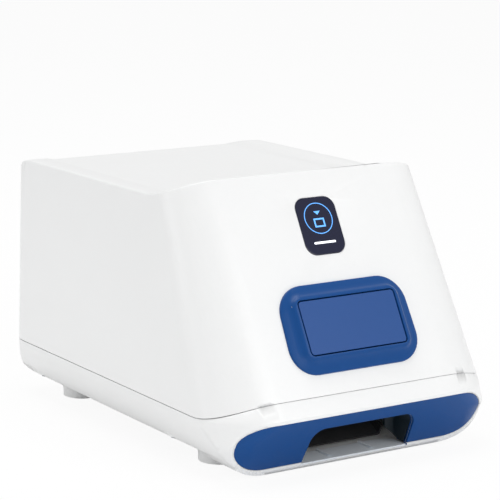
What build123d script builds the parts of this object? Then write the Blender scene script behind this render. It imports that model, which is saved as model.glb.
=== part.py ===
from build123d import *
from math import asin, atan2, cos, degrees, radians, sin, sqrt, tan
import os

# Phosphor plate scanner: a desk-top reader for dental imaging plates.
# Millimetres, +Z up, the front faces -Y. The origin is the middle of the footprint on the table.

# Body form
body_width = 150.0
overall_length = 214.0
top_width = 134.8
wall = 2.5
face_angle = 61.0
nose_edge_z = 27.4
nose_bottom_z = 1.0
nose_corner_z = 18.0
nose_corner_radius = 18.0
nose_rake = 27.8
nose_flat = 7.4
nose_slope_run = 10.0
base_bottom_z = 10.4
lower_corner_radius = 28.0
front_radius_low = 30.0
front_radius_top = 21.0
rear_radius = 12.0
rear_lean = 5.7
rear_top_round = 17.0
rear_bottom_round = 11.0
rail_z = 117.4
rim_z = 125.7
rim_fall_run = 29.6

# Sunk top between the rails
pocket_floor_z = 115.6
pocket_floor_width = 101.0
pocket_rail_width = 116.0
pocket_rim_width = 121.0
rim_crest = 3.6
rim_back_run = 9.0
pocket_corner_radius = 14.0

# Parting line between the two shells
side_seam_z = 27.6
front_seam_z = 35.0
seam_rise_run = 24.0
seam_gap = 0.4
tongue_thickness = 1.2
tongue_height = 2.0
tongue_root = 3.0

# Fits
slip_gap = 0.2
seat_gap = 0.3
running_gap = 0.06

# Feet
foot_x = 50.3
front_foot_y = -60.5
rear_foot_y = 70.5
foot_radius = 9.5
foot_flare = 7.0
foot_bottom_z = 0.6
pad_radius = 8.0
pad_height = 1.6

# Nose fascia, exit opening and tray
fascia_width = 132.0
fascia_top_z = 26.4
fascia_bottom_z = 3.9
fascia_end_length = 18.0
fascia_tip_z = 17.0
fascia_sink = 0.3
fascia_depth = 1.5
exit_width = 57.6
exit_top_z = 20.3
exit_taper = 4.0
exit_corner_radius = 6.5
hood_wall = 1.4
hood_back_y = -79.0
hood_corner_radius = 8.0
nose_floor_thickness = 1.4
exit_slot_width = 51.0
exit_slot_top_z = 13.0
tray_thickness = 0.9
tray_rib_spacing = 23.0
tray_rib_width = 1.4
tray_rib_height = 0.9
tray_rib_setback = 6.0
well_width = 67.0
well_back_y = -66.0

# Insertion opening, measured along the slanted face from the front seam
flap_centre = 30.0
flap_width = 51.0
flap_height = 24.6
flap_thickness = 2.4
flap_corner_radius = 1.6
flap_gap = 0.5
flap_sink = 0.15
bezel_width = 68.0
bezel_height = 41.0
bezel_taper = 2.0
bezel_corner_radius = 13.0
bezel_band_height = 2.3
bezel_band_width = 5.2
bezel_height_out = 4.4
bezel_ring_width = 2.8
bezel_ring_round = 1.1
bezel_sleeve_depth = 4.0
hinge_edge_distance = 1.8
hinge_depth = 2.2
hinge_pin_radius = 1.0
hinge_barrel_radius = 1.7
flap_spring_length = 8.0
flap_spring_radius = 1.35

# Status window
window_centre = 77.0
window_width = 21.3
window_height = 27.2
window_radius = 5.4
window_thickness = 1.4
window_proud = 0.2
window_ledge = 2.5
mark_thickness = 0.12
mark_ring_radius = 7.4
mark_ring_line = 0.35
mark_offset = 3.4
mark_plate_width = 5.6
mark_plate_height = 4.2
mark_line = 0.7
mark_arrow = 3.4
bar_length = 11.6
bar_height = 1.0
bar_offset = -8.1
status_board_width = 27.0
status_board_height = 30.0
status_post_height = 5.0
status_post_radius = 2.2

# Electronics and sheet thicknesses
board_thickness = 1.6
sheet = 1.6

# Chassis
chassis_z = 14.4
chassis_width = 96.0
chassis_front_y = -50.5
chassis_back_y = 84.0
chassis_boss_radius = 4.0
chassis_screw_x = 40.0
chassis_screw_front_y = -14.0
chassis_screw_back_y = 70.0
screw_radius = 1.5
screw_head_radius = 2.8
screw_head_height = 1.8
screw_bite = 8.0
side_frame_inner = 88.0
side_frame_front_y = -66.0
bench_z = 74.0

# Plate transport
plate_z = 48.0
plate_gap = 0.4
chute_floor_z = 47.4
chute_width = 54.0
chute_wall_height = 8.0
chute_front_y = -86.0
chute_sheet = 1.4
roller_y = -56.0
roller_length = 50.0
drive_roller_radius = 6.0
pinch_roller_radius = 4.0
roller_shaft_radius = 2.0
roller_clearance = 1.0
bearing_radius = 4.5
bearing_width = 3.0
feed_motor_size = 18.0
feed_motor_length = 15.0
feed_motor_y = -34.0
feed_motor_z = 25.3
motor_shaft_radius = 1.5
pulley_radius = 5.0
pulley_width = 4.0
belt_thickness = 1.0
belt_width = 3.4

# Linear drive
rod_x = 30.0
rod_z = 40.0
rod_radius = 2.5
screw_x = 38.5
lead_screw_radius = 2.5
front_block_y = -50.0
front_block_depth = 3.0
rear_block_y = 76.0
rear_block_depth = 4.0
block_height = 30.0
block_side = 14.0
carriage_front_y = -46.0
carriage_length = 58.0
carriage_width = 80.0
carriage_plate_z = 43.0
carriage_plate_thickness = 2.4
carriage_travel = 60.0
slider_width = 7.4
slider_length = 8.0
slider_drop = 7.5
nut_width = 7.6
nut_length = 12.0
bed_width = 48.0
bed_thickness = 1.4
bed_front_margin = 3.0
bed_hinge_y = 4.0
bed_hinge_z = 45.0
bed_pin_radius = 1.2
bed_barrel_radius = 2.1
bed_top_z = 47.0
bed_tilt = 24.0
bed_ear_width = 2.4
ramp_top_y = -40.0
ramp_top_z = 25.5
ramp_wall_height = 5.0
lead_motor_size = 20.0
lead_motor_length = 14.0

# Optics
scan_line_y = 10.0
beam_z = 86.0
bench_front_y = -14.0
bench_thickness = 2.0
scan_slot_length = 56.0
scan_slot_width = 6.0
polygon_y = 64.0
polygon_radius = 12.0
polygon_height = 6.0
polygon_facets = 8
polygon_motor_radius = 14.0
polygon_motor_height = 6.0
polygon_shaft_radius = 2.0
laser_radius = 5.0
laser_length = 20.0
laser_gap = 10.0
laser_holder = 14.0
lens_y = 42.0
lens_width = 44.0
lens_height = 9.0
lens_thickness = 7.0
fold_mirror_length = 58.0
fold_mirror_height = 13.0
fold_mirror_thickness = 2.0
mirror_mount_width = 4.0
tube_y = 31.0
tube_z = 62.0
tube_radius = 9.5
tube_length = 62.0
saddle_width = 16.0
light_guide_width = 56.0
eraser_y = -6.0
eraser_z = 60.0
eraser_depth = 12.0
eraser_lamps = 7
eraser_lamp_size = 3.0

# Main board
main_board_z = 20.0
main_board_width = 76.0
main_board_front_y = 8.0
main_board_back_y = 64.0
main_chip = 14.0
side_chip_width = 9.0
side_chip_length = 6.0
side_chip_x = 28.0
side_chip_y = 26.0
standoff_radius = 2.5

# Back panel and its sockets
panel_z = 49.0
panel_width = 92.0
panel_height = 26.0
panel_thickness = 2.0
panel_overlap = 3.0
panel_radius = 4.0
inlet_x = -13.0
inlet_radius = 5.5
inlet_bore = 2.9
inlet_pin = 1.0
port_x = 5.0
port_width = 13.0
port_height = 11.5
port_wall = 1.2
socket_depth = 10.0
switch_x = -33.0
switch_width = 14.0
switch_height = 19.0
switch_flange = 2.0
switch_flange_thickness = 1.2
rocker_throw = 20.0
rocker_proud = 2.4
rocker_pin_radius = 0.8
vent_z = 92.0
vent_count = 7
vent_pitch = 7.0
vent_width = 2.6
vent_height = 20.0

# Shell screws
shell_screw_x = 66.0
shell_screw_front_y = -50.0
shell_screw_back_y = 78.0
shell_screw_length = 30.0
shell_boss_radius = 4.5
shell_boss_height = 18.0

reach = 300.0


# Form lines worked out from the sizes above

nose_y = -overall_length / 2
nose_floor_z = nose_bottom_z + nose_floor_thickness
lean = tan(radians(rear_lean))
rear_line_y = (
    overall_length / 2
    - lean * (rail_z - rear_top_round - nose_edge_z)
    + rear_top_round * (1 / cos(radians(rear_lean)) - 1)
)


def face_y(height):
    """Depth of the slanted face at one height."""
    return nose_y + (height - nose_edge_z) / tan(radians(face_angle))


def rear_y(height):
    """Depth of the leaning rear wall at one height."""
    return rear_line_y + lean * (height - nose_edge_z)


def front_y(height, inset):
    """Depth of the front outline at one height: the face above the nose edge, the undercut below."""
    start = nose_y + inset / sin(radians(face_angle))
    if height >= nose_edge_z:
        return start + (height - nose_edge_z) / tan(radians(face_angle))
    return start + (nose_edge_z - height) * tan(radians(nose_rake))


def plan_section(height, inset):
    """Horizontal outline of the body at one height, drawn in by an inset."""
    share = max(0.0, (height - nose_edge_z) / (rail_z - nose_edge_z))
    under = min(1.0, max(0.0, (nose_edge_z - height) / (nose_edge_z - nose_corner_z)))
    half_width = body_width / 2 - share * (body_width - top_width) / 2 - inset
    front_radius = front_radius_low - share * (front_radius_low - front_radius_top) - inset
    front_radius -= under * (front_radius_low - nose_corner_radius)
    front = front_y(height, inset)
    back = rear_y(height) - inset
    outline = Pos(0, (front + back) / 2, height) * Rectangle(2 * half_width, back - front)
    outline = fillet(outline.vertices().group_by(Axis.Y)[0], front_radius)
    return fillet(outline.vertices().group_by(Axis.Y)[-1], rear_radius - inset)


def side_profile(inset):
    """Side view of the body, drawn in by an inset."""
    rim_y = face_y(rim_z)
    fall = rim_z - rail_z
    fall_radius = (rim_fall_run**2 + fall**2) / (2 * fall)
    half_turn = asin(rim_fall_run / fall_radius) / 2
    rail_start = (rim_y + rim_fall_run, rail_z)
    fall_middle = (
        rail_start[0] - fall_radius * sin(half_turn),
        rail_z + fall_radius * (1 - cos(half_turn)),
    )
    nose_foot_y = nose_y + (nose_edge_z - nose_bottom_z) * tan(radians(nose_rake))
    line = Polyline(
        (rim_y, rim_z),
        (nose_y, nose_edge_z),
        (nose_foot_y, nose_bottom_z),
        (nose_foot_y + nose_flat, nose_bottom_z),
        (nose_foot_y + nose_flat + nose_slope_run, base_bottom_z),
        (rear_y(base_bottom_z), base_bottom_z),
        (rear_y(rail_z), rail_z),
        rail_start,
    )
    fall_arc = ThreePointArc(rail_start, fall_middle, (rim_y, rim_z))
    profile = make_face(line.edges() + [fall_arc])
    rear_corners = profile.vertices().group_by(Axis.X)
    profile = fillet(rear_corners[-1], rear_top_round)
    low_corner = [v for v in profile.vertices() if abs(v.Y - base_bottom_z) < seat_gap and v.X > 0]
    profile = fillet(low_corner, rear_bottom_round)
    if inset:
        profile = offset(profile, -inset, kind=Kind.INTERSECTION)
    return profile


def front_profile(inset):
    """Front view of the body: straight sides with two large lower corners."""
    half_width = body_width / 2 - inset
    bottom = nose_bottom_z + inset
    top = rim_z + wall
    outline = Pos(0, (bottom + top) / 2) * Rectangle(2 * half_width, top - bottom)
    return fillet(outline.vertices().group_by(Axis.Y)[0], lower_corner_radius - inset)


def nose_form(inset):
    """Part of the body below the nose edge, before its lower corners are rounded."""
    levels = [nose_edge_z, nose_corner_z, nose_bottom_z - wall]
    sections = [plan_section(level, inset) for level in levels]
    return loft(sections[:2], ruled=True) + loft(sections[1:], ruled=True)


def body_form(inset):
    """Solid form of the whole body, drawn in by an inset."""
    upper = loft([plan_section(nose_edge_z, inset), plan_section(rim_z + wall, inset)], ruled=True)
    sides = extrude(Plane.YZ * side_profile(inset), body_width, both=True)
    fronts = extrude(Plane.XZ * front_profile(inset), overall_length, both=True)
    return (upper + nose_form(inset)) & sides & fronts


def above_seam(lift):
    """Space above the parting line: level along the sides, rising round the front corners."""
    seam_y = face_y(front_seam_z)
    rise = front_seam_z - side_seam_z
    radius = (seam_rise_run**2 + rise**2) / (2 * rise)
    half_turn = asin(seam_rise_run / radius) / 2
    start = (seam_y + seam_rise_run, side_seam_z + lift)
    middle = (
        start[0] - radius * sin(half_turn),
        start[1] + radius * (1 - cos(half_turn)),
    )
    end = (seam_y, front_seam_z + lift)
    arc = ThreePointArc(start, middle, end)
    line = Polyline(end, (-reach, end[1]), (-reach, reach), (reach, reach), (reach, start[1]), start)
    return extrude(Plane.YZ * make_face(line.edges() + [arc]), body_width, both=True)


def box_between(low, high):
    """Box from its low corner to its high corner."""
    size = [b - a for a, b in zip(low, high)]
    middle = [(a + b) / 2 for a, b in zip(low, high)]
    return Pos(*middle) * Box(*size)


def rod_x_axis(x_from, x_to, y, z, radius):
    """Cylinder along X."""
    return Pos((x_from + x_to) / 2, y, z) * Rot(0, 90, 0) * Cylinder(radius, x_to - x_from)


def rod_y_axis(y_from, y_to, x, z, radius):
    """Cylinder along Y."""
    return Pos(x, (y_from + y_to) / 2, z) * Rot(90, 0, 0) * Cylinder(radius, y_to - y_from)


def post(x, y, z_from, z_to, radius):
    """Cylinder along Z."""
    return Pos(x, y, (z_from + z_to) / 2) * Cylinder(radius, z_to - z_from)


def face_plane(distance):
    """Plane on the slanted face: x to the right, y up the slope, z outward."""
    angle = radians(face_angle)
    origin = (
        0,
        face_y(front_seam_z) + distance * cos(angle),
        front_seam_z + distance * sin(angle),
    )
    return Plane(origin=origin, x_dir=(1, 0, 0), z_dir=(0, -sin(angle), cos(angle)))


def rear_plane(x, height):
    """Plane on the leaning rear wall: y up the wall, z outward."""
    angle = radians(rear_lean)
    return Plane(origin=(x, rear_y(height), height), x_dir=(-1, 0, 0), z_dir=(0, cos(angle), -sin(angle)))


def level_slab(outline, bottom, top):
    """Prism on a flat outline between two levels of its own plane."""
    return Pos(0, 0, bottom) * extrude(outline, top - bottom)


# Shells

shell_screw_places = [
    (side * shell_screw_x, y) for side in (-1, 1) for y in (shell_screw_front_y, shell_screw_back_y)
]
chassis_screw_places = [
    (side * chassis_screw_x, y) for side in (-1, 1) for y in (chassis_screw_front_y, chassis_screw_back_y)
]
foot_places = [(side * foot_x, y) for side in (-1, 1) for y in (front_foot_y, rear_foot_y)]

outer_form = body_form(0)
inner_form = body_form(wall)
cavity_top_z = pocket_floor_z - wall
cavity = inner_form & box_between((-reach, -reach, -reach), (reach, reach, cavity_top_z))


def top_pocket():
    """Sunk top between the rails, open at the back, with a steep slope behind the front rim."""
    crest_y = face_y(rim_z) + rim_crest
    slope_foot_y = crest_y + rim_back_run
    slope = Polyline(
        (crest_y, rim_z + wall),
        (crest_y, rim_z - rim_crest / 2),
        (slope_foot_y, pocket_floor_z),
        (reach, pocket_floor_z),
        (reach, rim_z + wall),
        close=True,
    )
    side_face = make_face(slope)
    foot_corner = [v for v in side_face.vertices() if abs(v.X - slope_foot_y) < seat_gap]
    side_face = fillet(foot_corner, rim_back_run)
    across = Polyline(
        (-pocket_floor_width / 2, pocket_floor_z),
        (pocket_floor_width / 2, pocket_floor_z),
        (pocket_rail_width / 2, rail_z),
        (pocket_rim_width / 2, rim_z + wall),
        (-pocket_rim_width / 2, rim_z + wall),
        (-pocket_rail_width / 2, rail_z),
        close=True,
    )
    plan = Pos(0, crest_y + reach / 2) * Rectangle(pocket_rim_width, reach)
    plan = fillet(plan.vertices().group_by(Axis.Y)[0], pocket_corner_radius)
    along = extrude(Plane.YZ * side_face, body_width, both=True)
    crosswise = extrude(Plane.XZ * make_face(across), reach, both=True)
    return along & crosswise & extrude(plan, rim_z + wall)


def trapezoid(width, height, taper, radius):
    """Rounded outline that narrows upward by a taper on each side."""
    shift = height / 2 * tan(radians(taper))
    points = Polyline(
        (-width / 2 - shift, -height / 2),
        (width / 2 + shift, -height / 2),
        (width / 2 - shift, height / 2),
        (-width / 2 + shift, height / 2),
        close=True,
    )
    return fillet(make_face(points).vertices(), radius)


flap_opening_width = flap_width + 2 * flap_gap
flap_opening_height = flap_height + 2 * flap_gap
flap_opening_radius = flap_corner_radius + flap_gap
sleeve_width = flap_opening_width + bezel_ring_width
sleeve_height = flap_opening_height + bezel_ring_width
sleeve_radius = flap_opening_radius + bezel_ring_width / 2
flap_plane = face_plane(flap_centre)
window_plane = face_plane(window_centre)


def window_outline(margin):
    """Rounded outline of the status window with a margin all round."""
    return RectangleRounded(window_width + 2 * margin, window_height + 2 * margin, window_radius + margin)


def status_posts():
    """Places of the four posts behind the window."""
    return GridLocations(
        status_board_width - 2 * status_post_radius, status_board_height - 2 * status_post_radius, 2, 2
    )


def vent_cutter():
    """Upright slots in the upper rear wall."""
    slot = SlotOverall(vent_height, vent_width, rotation=90)
    slots = Sketch() + [place * slot for place in GridLocations(vent_pitch, 1, vent_count, 1)]
    return rear_plane(0, vent_z) * level_slab(slots, -2 * wall, wall)


def upper_shell():
    """White cover with slanted face, rim, rails and sunk top."""
    shell = (outer_form - cavity) & above_seam(seam_gap)
    shell -= top_pocket()
    sleeve_hole = trapezoid(sleeve_width + 2 * slip_gap, sleeve_height + 2 * slip_gap, 0, sleeve_radius)
    shell -= flap_plane * level_slab(sleeve_hole, -2 * wall, wall)
    shell -= window_plane * level_slab(window_outline(slip_gap), window_proud - window_thickness, wall)
    shell -= window_plane * level_slab(window_outline(-window_ledge), -2 * wall, wall)
    posts = Sketch() + [place * Circle(status_post_radius) for place in status_posts()]
    shell += window_plane * level_slab(posts, -wall - status_post_height, -wall / 2)
    panel_hole = RectangleRounded(panel_width, panel_height, panel_radius)
    shell -= rear_plane(0, panel_z) * level_slab(panel_hole, -2 * wall, wall)
    shell -= vent_cutter()
    boss_bottom = side_seam_z + seam_gap + tongue_height + seat_gap
    boss_top = boss_bottom + shell_boss_height
    for x, y in shell_screw_places:
        boss = post(x, y, boss_bottom, boss_top, shell_boss_radius)
        web_x = sorted((x, x + (body_width / 2 - abs(x)) * (1 if x > 0 else -1)))
        web = box_between((web_x[0], y - wall / 2, boss_bottom), (web_x[1], y + wall / 2, boss_top))
        shell += (boss + web) & outer_form
        shell -= post(x, y, boss_bottom - wall, boss_top - wall, screw_radius + slip_gap)
    return shell


def seam_tongue():
    """Lip inside the seam that lines up the two shells."""
    root = body_form(wall / 2) - body_form(wall + slip_gap + tongue_thickness)
    lip = body_form(wall + slip_gap) - body_form(wall + slip_gap + tongue_thickness)
    below = above_seam(-tongue_root) - above_seam(0)
    beside = above_seam(-tongue_root / 2) - above_seam(seam_gap + tongue_height)
    return (root & below) + (lip & beside)


def foot():
    """Moulded foot with a hollow flare, standing at the origin."""
    neck = base_bottom_z - foot_flare
    turn = foot_flare * (1 - cos(radians(45)))
    flare = ThreePointArc(
        (foot_radius, neck),
        (foot_radius + turn, base_bottom_z - turn),
        (foot_radius + foot_flare, base_bottom_z),
    )
    line = Polyline(
        (foot_radius + foot_flare, base_bottom_z),
        (foot_radius + foot_flare, base_bottom_z + wall / 2),
        (0, base_bottom_z + wall / 2),
        (0, pad_height),
        (pad_radius, pad_height),
        (pad_radius, foot_bottom_z),
        (foot_radius, foot_bottom_z),
        (foot_radius, neck),
    )
    return revolve(Plane.XZ * make_face(line.edges() + [flare]), Axis.Z)


def well_profile(inset, floor):
    """Side view of the tray well under the base, with its ends drawn in and its floor lifted."""
    nose_foot_y = nose_y + (nose_edge_z - nose_bottom_z) * tan(radians(nose_rake))
    run = base_bottom_z - nose_bottom_z
    line = Polyline(
        (nose_foot_y + inset, nose_bottom_z + floor),
        (well_back_y, nose_bottom_z + floor),
        (well_back_y + run, base_bottom_z + floor),
        (well_back_y + run, base_bottom_z + 2 * wall),
        (nose_foot_y + inset, base_bottom_z + 2 * wall),
        close=True,
    )
    return make_face(line)


def fascia_outline(margin):
    """Front view of the blue fascia with a margin all round: its ends are half ellipses."""
    reach_x = fascia_end_length + margin
    up = fascia_top_z - fascia_tip_z + margin
    down = fascia_tip_z - fascia_bottom_z + margin
    centre = fascia_width / 2 - fascia_end_length
    bar = Pos(0, fascia_tip_z + (up - down) / 2) * Rectangle(2 * centre, up + down)
    above = Rectangle(4 * body_width, 2 * reach, align=(Align.CENTER, Align.MIN))
    below = Rectangle(4 * body_width, 2 * reach, align=(Align.CENTER, Align.MAX))
    for side in (-1, 1):
        middle = Pos(side * centre, fascia_tip_z)
        bar += (middle * Ellipse(reach_x, up)) & (Pos(0, fascia_tip_z) * above)
        bar += (middle * Ellipse(reach_x, down)) & (Pos(0, fascia_tip_z) * below)
    return bar


def exit_outline(margin):
    """Front view of the exit opening, a little narrower at the top, carried down past the tray."""
    top = exit_top_z + margin
    half_low = exit_width / 2 + margin
    half_top = half_low - (top - nose_floor_z) * tan(radians(exit_taper))
    points = Polyline(
        (-half_low, nose_floor_z), (half_low, nose_floor_z), (half_top, top), (-half_top, top), close=True
    )
    outline = make_face(points)
    return fillet(outline.vertices().group_by(Axis.Y)[-1], exit_corner_radius + margin)


def front_half(outline):
    """Prism through the front half of the body on a front view outline."""
    return Pos(0, well_back_y, 0) * extrude(Plane.XZ * outline, reach)


def base_shell():
    """White base with undercut nose, tray well and four feet."""
    well_outer = extrude(Plane.YZ * well_profile(0, 0), well_width / 2, both=True)
    well_profile_inner = well_profile(fascia_depth, nose_floor_thickness)
    well_inner = extrude(Plane.YZ * well_profile_inner, well_width / 2 - wall, both=True)
    shell = (outer_form + well_outer) - cavity - well_inner
    shell -= above_seam(0)
    shell += seam_tongue()
    shell -= front_half(fascia_outline(slip_gap)) - nose_form(fascia_depth)
    shell -= front_half(exit_outline(0))
    for x, y in foot_places:
        shell += Pos(x, y, 0) * foot()
    floor = base_bottom_z + wall
    for x, y in chassis_screw_places:
        shell += post(x, y, floor - wall / 2, chassis_z, chassis_boss_radius)
        shell -= post(x, y, base_bottom_z + wall / 2, chassis_z, screw_radius + slip_gap)
    boss_top = side_seam_z + tongue_height + seam_gap
    for x, y in shell_screw_places:
        shell += post(x, y, floor - wall / 2, boss_top, shell_boss_radius)
        shell -= post(x, y, 0, boss_top, screw_radius + slip_gap)
        shell -= post(x, y, 0, base_bottom_z + screw_head_height + slip_gap, screw_head_radius + slip_gap)
    return shell


def foot_pads():
    """Four rubber discs under the feet."""
    return [post(x, y, 0, pad_height, pad_radius) for x, y in foot_places]


# Nose and tray

tray_top_z = nose_floor_z + tray_thickness


def nose_fascia():
    """Blue panel that follows the nose round both corners."""
    skin = nose_form(fascia_sink) - nose_form(fascia_depth)
    return (skin & front_half(fascia_outline(0))) - front_half(exit_outline(0))


def exit_room(margin, back_y):
    """Room behind the exit opening with two rounded back corners."""
    length = back_y - nose_y
    plan = Pos(0, nose_y + length / 2) * Rectangle(exit_width + 2 * margin, length)
    plan = fillet(plan.vertices().group_by(Axis.Y)[-1], hood_corner_radius + margin)
    return front_half(exit_outline(margin)) & extrude(plan, rim_z)


def exit_hood():
    """Dark liner behind the exit opening with a slot in its back."""
    liner = exit_room(hood_wall, hood_back_y) - exit_room(0, hood_back_y - hood_wall)
    slot = box_between(
        (-exit_slot_width / 2, hood_back_y - 2 * hood_wall, 0),
        (exit_slot_width / 2, hood_back_y + hood_wall, exit_slot_top_z),
    )
    return (liner & body_form(wall + slip_gap)) - slot


def receiving_tray():
    """White tray floor with two raised ribs."""
    floor = exit_room(-slip_gap, hood_back_y - hood_wall - slip_gap)
    below_top = box_between((-reach, -reach, nose_floor_z), (reach, reach, tray_top_z))
    tray = floor & below_top & nose_form(fascia_sink)
    rib_front = nose_y + (nose_edge_z - tray_top_z) * tan(radians(nose_rake)) + tray_rib_setback
    for side in (-1, 1):
        x = side * tray_rib_spacing / 2
        tray += box_between(
            (x - tray_rib_width / 2, rib_front, tray_top_z - tray_thickness / 2),
            (x + tray_rib_width / 2, hood_back_y - hood_wall - slip_gap, tray_top_z + tray_rib_height),
        )
    return tray


# Insertion flap

hinge_y = flap_height / 2 - hinge_edge_distance
flap_face_n = bezel_height_out - flap_sink
hinge_n = flap_face_n - hinge_depth
pin_length = flap_opening_width + 2 * (bezel_ring_width - seat_gap)


def hinge_rod(length, radius):
    """Cylinder on the flap's hinge axis."""
    return Pos(0, hinge_y, hinge_n) * Rot(0, 90, 0) * Cylinder(radius, length)


def flap_bezel():
    """Blue frame that rises to a ring round the flap."""
    foot_outline = trapezoid(bezel_width, bezel_height, bezel_taper, bezel_corner_radius)
    crest_outline = trapezoid(
        bezel_width - 2 * bezel_band_width,
        bezel_height - 2 * bezel_band_width,
        bezel_taper,
        bezel_corner_radius - bezel_band_width,
    )
    band = loft([foot_outline, Pos(0, 0, bezel_band_height) * crest_outline], ruled=True)
    ring_outline = trapezoid(
        flap_opening_width + 2 * bezel_ring_width,
        flap_opening_height + 2 * bezel_ring_width,
        0,
        flap_opening_radius + bezel_ring_width,
    )
    ring = level_slab(ring_outline, 0, bezel_height_out)
    ring = fillet(ring.edges().group_by(Axis.Z)[-1], bezel_ring_round)
    sleeve_outline = trapezoid(sleeve_width, sleeve_height, 0, sleeve_radius)
    sleeve = level_slab(sleeve_outline, -bezel_sleeve_depth, bezel_band_height)
    opening = trapezoid(flap_opening_width, flap_opening_height, 0, flap_opening_radius)
    bezel = band + ring + sleeve - level_slab(opening, -2 * bezel_sleeve_depth, 2 * bezel_height_out)
    bezel -= hinge_rod(pin_length, hinge_pin_radius)
    return flap_plane * bezel


def insert_flap():
    """Blue flap with its hinge barrel along the top edge."""
    outline = trapezoid(flap_width, flap_height, 0, flap_corner_radius)
    plate = level_slab(outline, flap_face_n - flap_thickness, flap_face_n)
    barrel = hinge_rod(flap_width - 2 * flap_corner_radius, hinge_barrel_radius)
    room_length = flap_spring_length + 2 * seat_gap
    behind_plate = Pos(0, 0, flap_face_n - flap_thickness - reach / 2) * Box(reach, reach, reach)
    spring_room = hinge_rod(room_length, flap_spring_radius + seat_gap)
    spring_room += hinge_rod(room_length, hinge_barrel_radius + seat_gap) & behind_plate
    flap = plate + barrel - spring_room
    flap -= hinge_rod(2 * pin_length, hinge_pin_radius + running_gap)
    return flap_plane * flap


def flap_pin():
    """Steel hinge pin held in the bezel's side walls."""
    return flap_plane * hinge_rod(pin_length, hinge_pin_radius)


def flap_spring():
    """Return spring round the middle of the pin."""
    coil = hinge_rod(flap_spring_length, flap_spring_radius)
    return flap_plane * (coil - hinge_rod(pin_length, hinge_pin_radius + running_gap))


# Status window

def status_window():
    """Dark glass in its recess."""
    return window_plane * level_slab(window_outline(0), window_proud - window_thickness, window_proud)


def status_mark():
    """Thin lit sign: a ring, and a plate with an arrow over it."""
    ring = Circle(mark_ring_radius) - Circle(mark_ring_radius - mark_ring_line)
    plate = Rectangle(mark_plate_width, mark_plate_height)
    plate -= Rectangle(mark_plate_width - 2 * mark_line, mark_plate_height - 2 * mark_line)
    plate = Pos(0, -mark_plate_height / 2) * plate
    head = Polyline(
        (-mark_arrow / 2, mark_arrow), (mark_arrow / 2, mark_arrow), (0, mark_arrow / 2), close=True
    )
    sketches = [ring, plate, make_face(head)]
    return [
        window_plane * Pos(0, mark_offset, 0) * level_slab(s, window_proud, window_proud + mark_thickness)
        for s in sketches
    ]


def status_bar():
    """Thin lit bar under the sign."""
    bar = Pos(0, bar_offset) * SlotOverall(bar_length, bar_height)
    return window_plane * level_slab(bar, window_proud, window_proud + mark_thickness)


def status_board():
    """Lamp board on the posts behind the window."""
    back = -wall - status_post_height
    board = level_slab(Rectangle(status_board_width, status_board_height), back - board_thickness, back)
    lamp = Pos(0, bar_offset) * Rectangle(bar_length, 2 * bar_height)
    board += level_slab(lamp, back - board_thickness / 2, back + status_post_height / 2)
    return window_plane * board


# Frame and plate transport

chassis_top_z = chassis_z + sheet
frame_inner_x = side_frame_inner / 2
frame_outer_x = frame_inner_x + sheet
drive_roller_z = plate_z - drive_roller_radius
pinch_roller_z = plate_z + plate_gap + pinch_roller_radius


def chassis_plate():
    """Steel floor plate of the works."""
    plate = box_between(
        (-chassis_width / 2, chassis_front_y, chassis_z), (chassis_width / 2, chassis_back_y, chassis_top_z)
    )
    for x, y in chassis_screw_places:
        plate -= post(x, y, chassis_z - wall, chassis_top_z + wall, screw_radius + slip_gap)
    return plate


def side_frames():
    """Two upright side plates with the roller and pinch bearing holes."""
    line = Polyline(
        (chassis_front_y, chassis_top_z),
        (chassis_back_y, chassis_top_z),
        (chassis_back_y, bench_z),
        (bench_front_y, bench_z),
        (bench_front_y - sheet, pinch_roller_z + 2 * bearing_radius),
        (side_frame_front_y, pinch_roller_z + 2 * bearing_radius),
        (side_frame_front_y, drive_roller_z - 2 * bearing_radius),
        (chassis_front_y, drive_roller_z - 3 * bearing_radius),
        close=True,
    )
    frames = []
    for side in (-1, 1):
        centre = side * (frame_inner_x + frame_outer_x) / 2
        frame = Pos(centre, 0, 0) * extrude(Plane.YZ * make_face(line), sheet / 2, both=True)
        for z in (drive_roller_z, pinch_roller_z):
            frame -= rod_x_axis(centre - sheet, centre + sheet, roller_y, z, bearing_radius + slip_gap)
        if side > 0:
            frame -= rod_x_axis(centre - sheet, centre + sheet, feed_motor_y, feed_motor_z, bearing_radius)
        frames.append(frame)
    return frames


def roller_bearings():
    """Four plain bushes in the side plates."""
    bushes = []
    for side in (-1, 1):
        inner = side * (frame_inner_x - seat_gap)
        outer = side * (frame_inner_x + bearing_width)
        low, high = sorted((inner, outer))
        for z in (drive_roller_z, pinch_roller_z):
            bush = rod_x_axis(low, high, roller_y, z, bearing_radius)
            bush -= rod_x_axis(low - wall, high + wall, roller_y, z, roller_shaft_radius + running_gap)
            bushes.append(bush)
    return bushes


shaft_end_x = frame_inner_x + bearing_width
pulley_x = shaft_end_x + seat_gap


def roller(z, radius, shaft_end):
    """Roller on its shaft, along X."""
    core = rod_x_axis(-roller_length / 2, roller_length / 2, roller_y, z, radius)
    return core + rod_x_axis(-shaft_end_x, shaft_end, roller_y, z, roller_shaft_radius)


def feed_roller():
    """Driven rubber roller below the plate, with its pulley."""
    pulley = rod_x_axis(pulley_x, pulley_x + pulley_width, roller_y, drive_roller_z, pulley_radius)
    return roller(drive_roller_z, drive_roller_radius, pulley_x + pulley_width / 2) + pulley


def pinch_roller():
    """Free roller above the plate."""
    return roller(pinch_roller_z, pinch_roller_radius, shaft_end_x)


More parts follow.
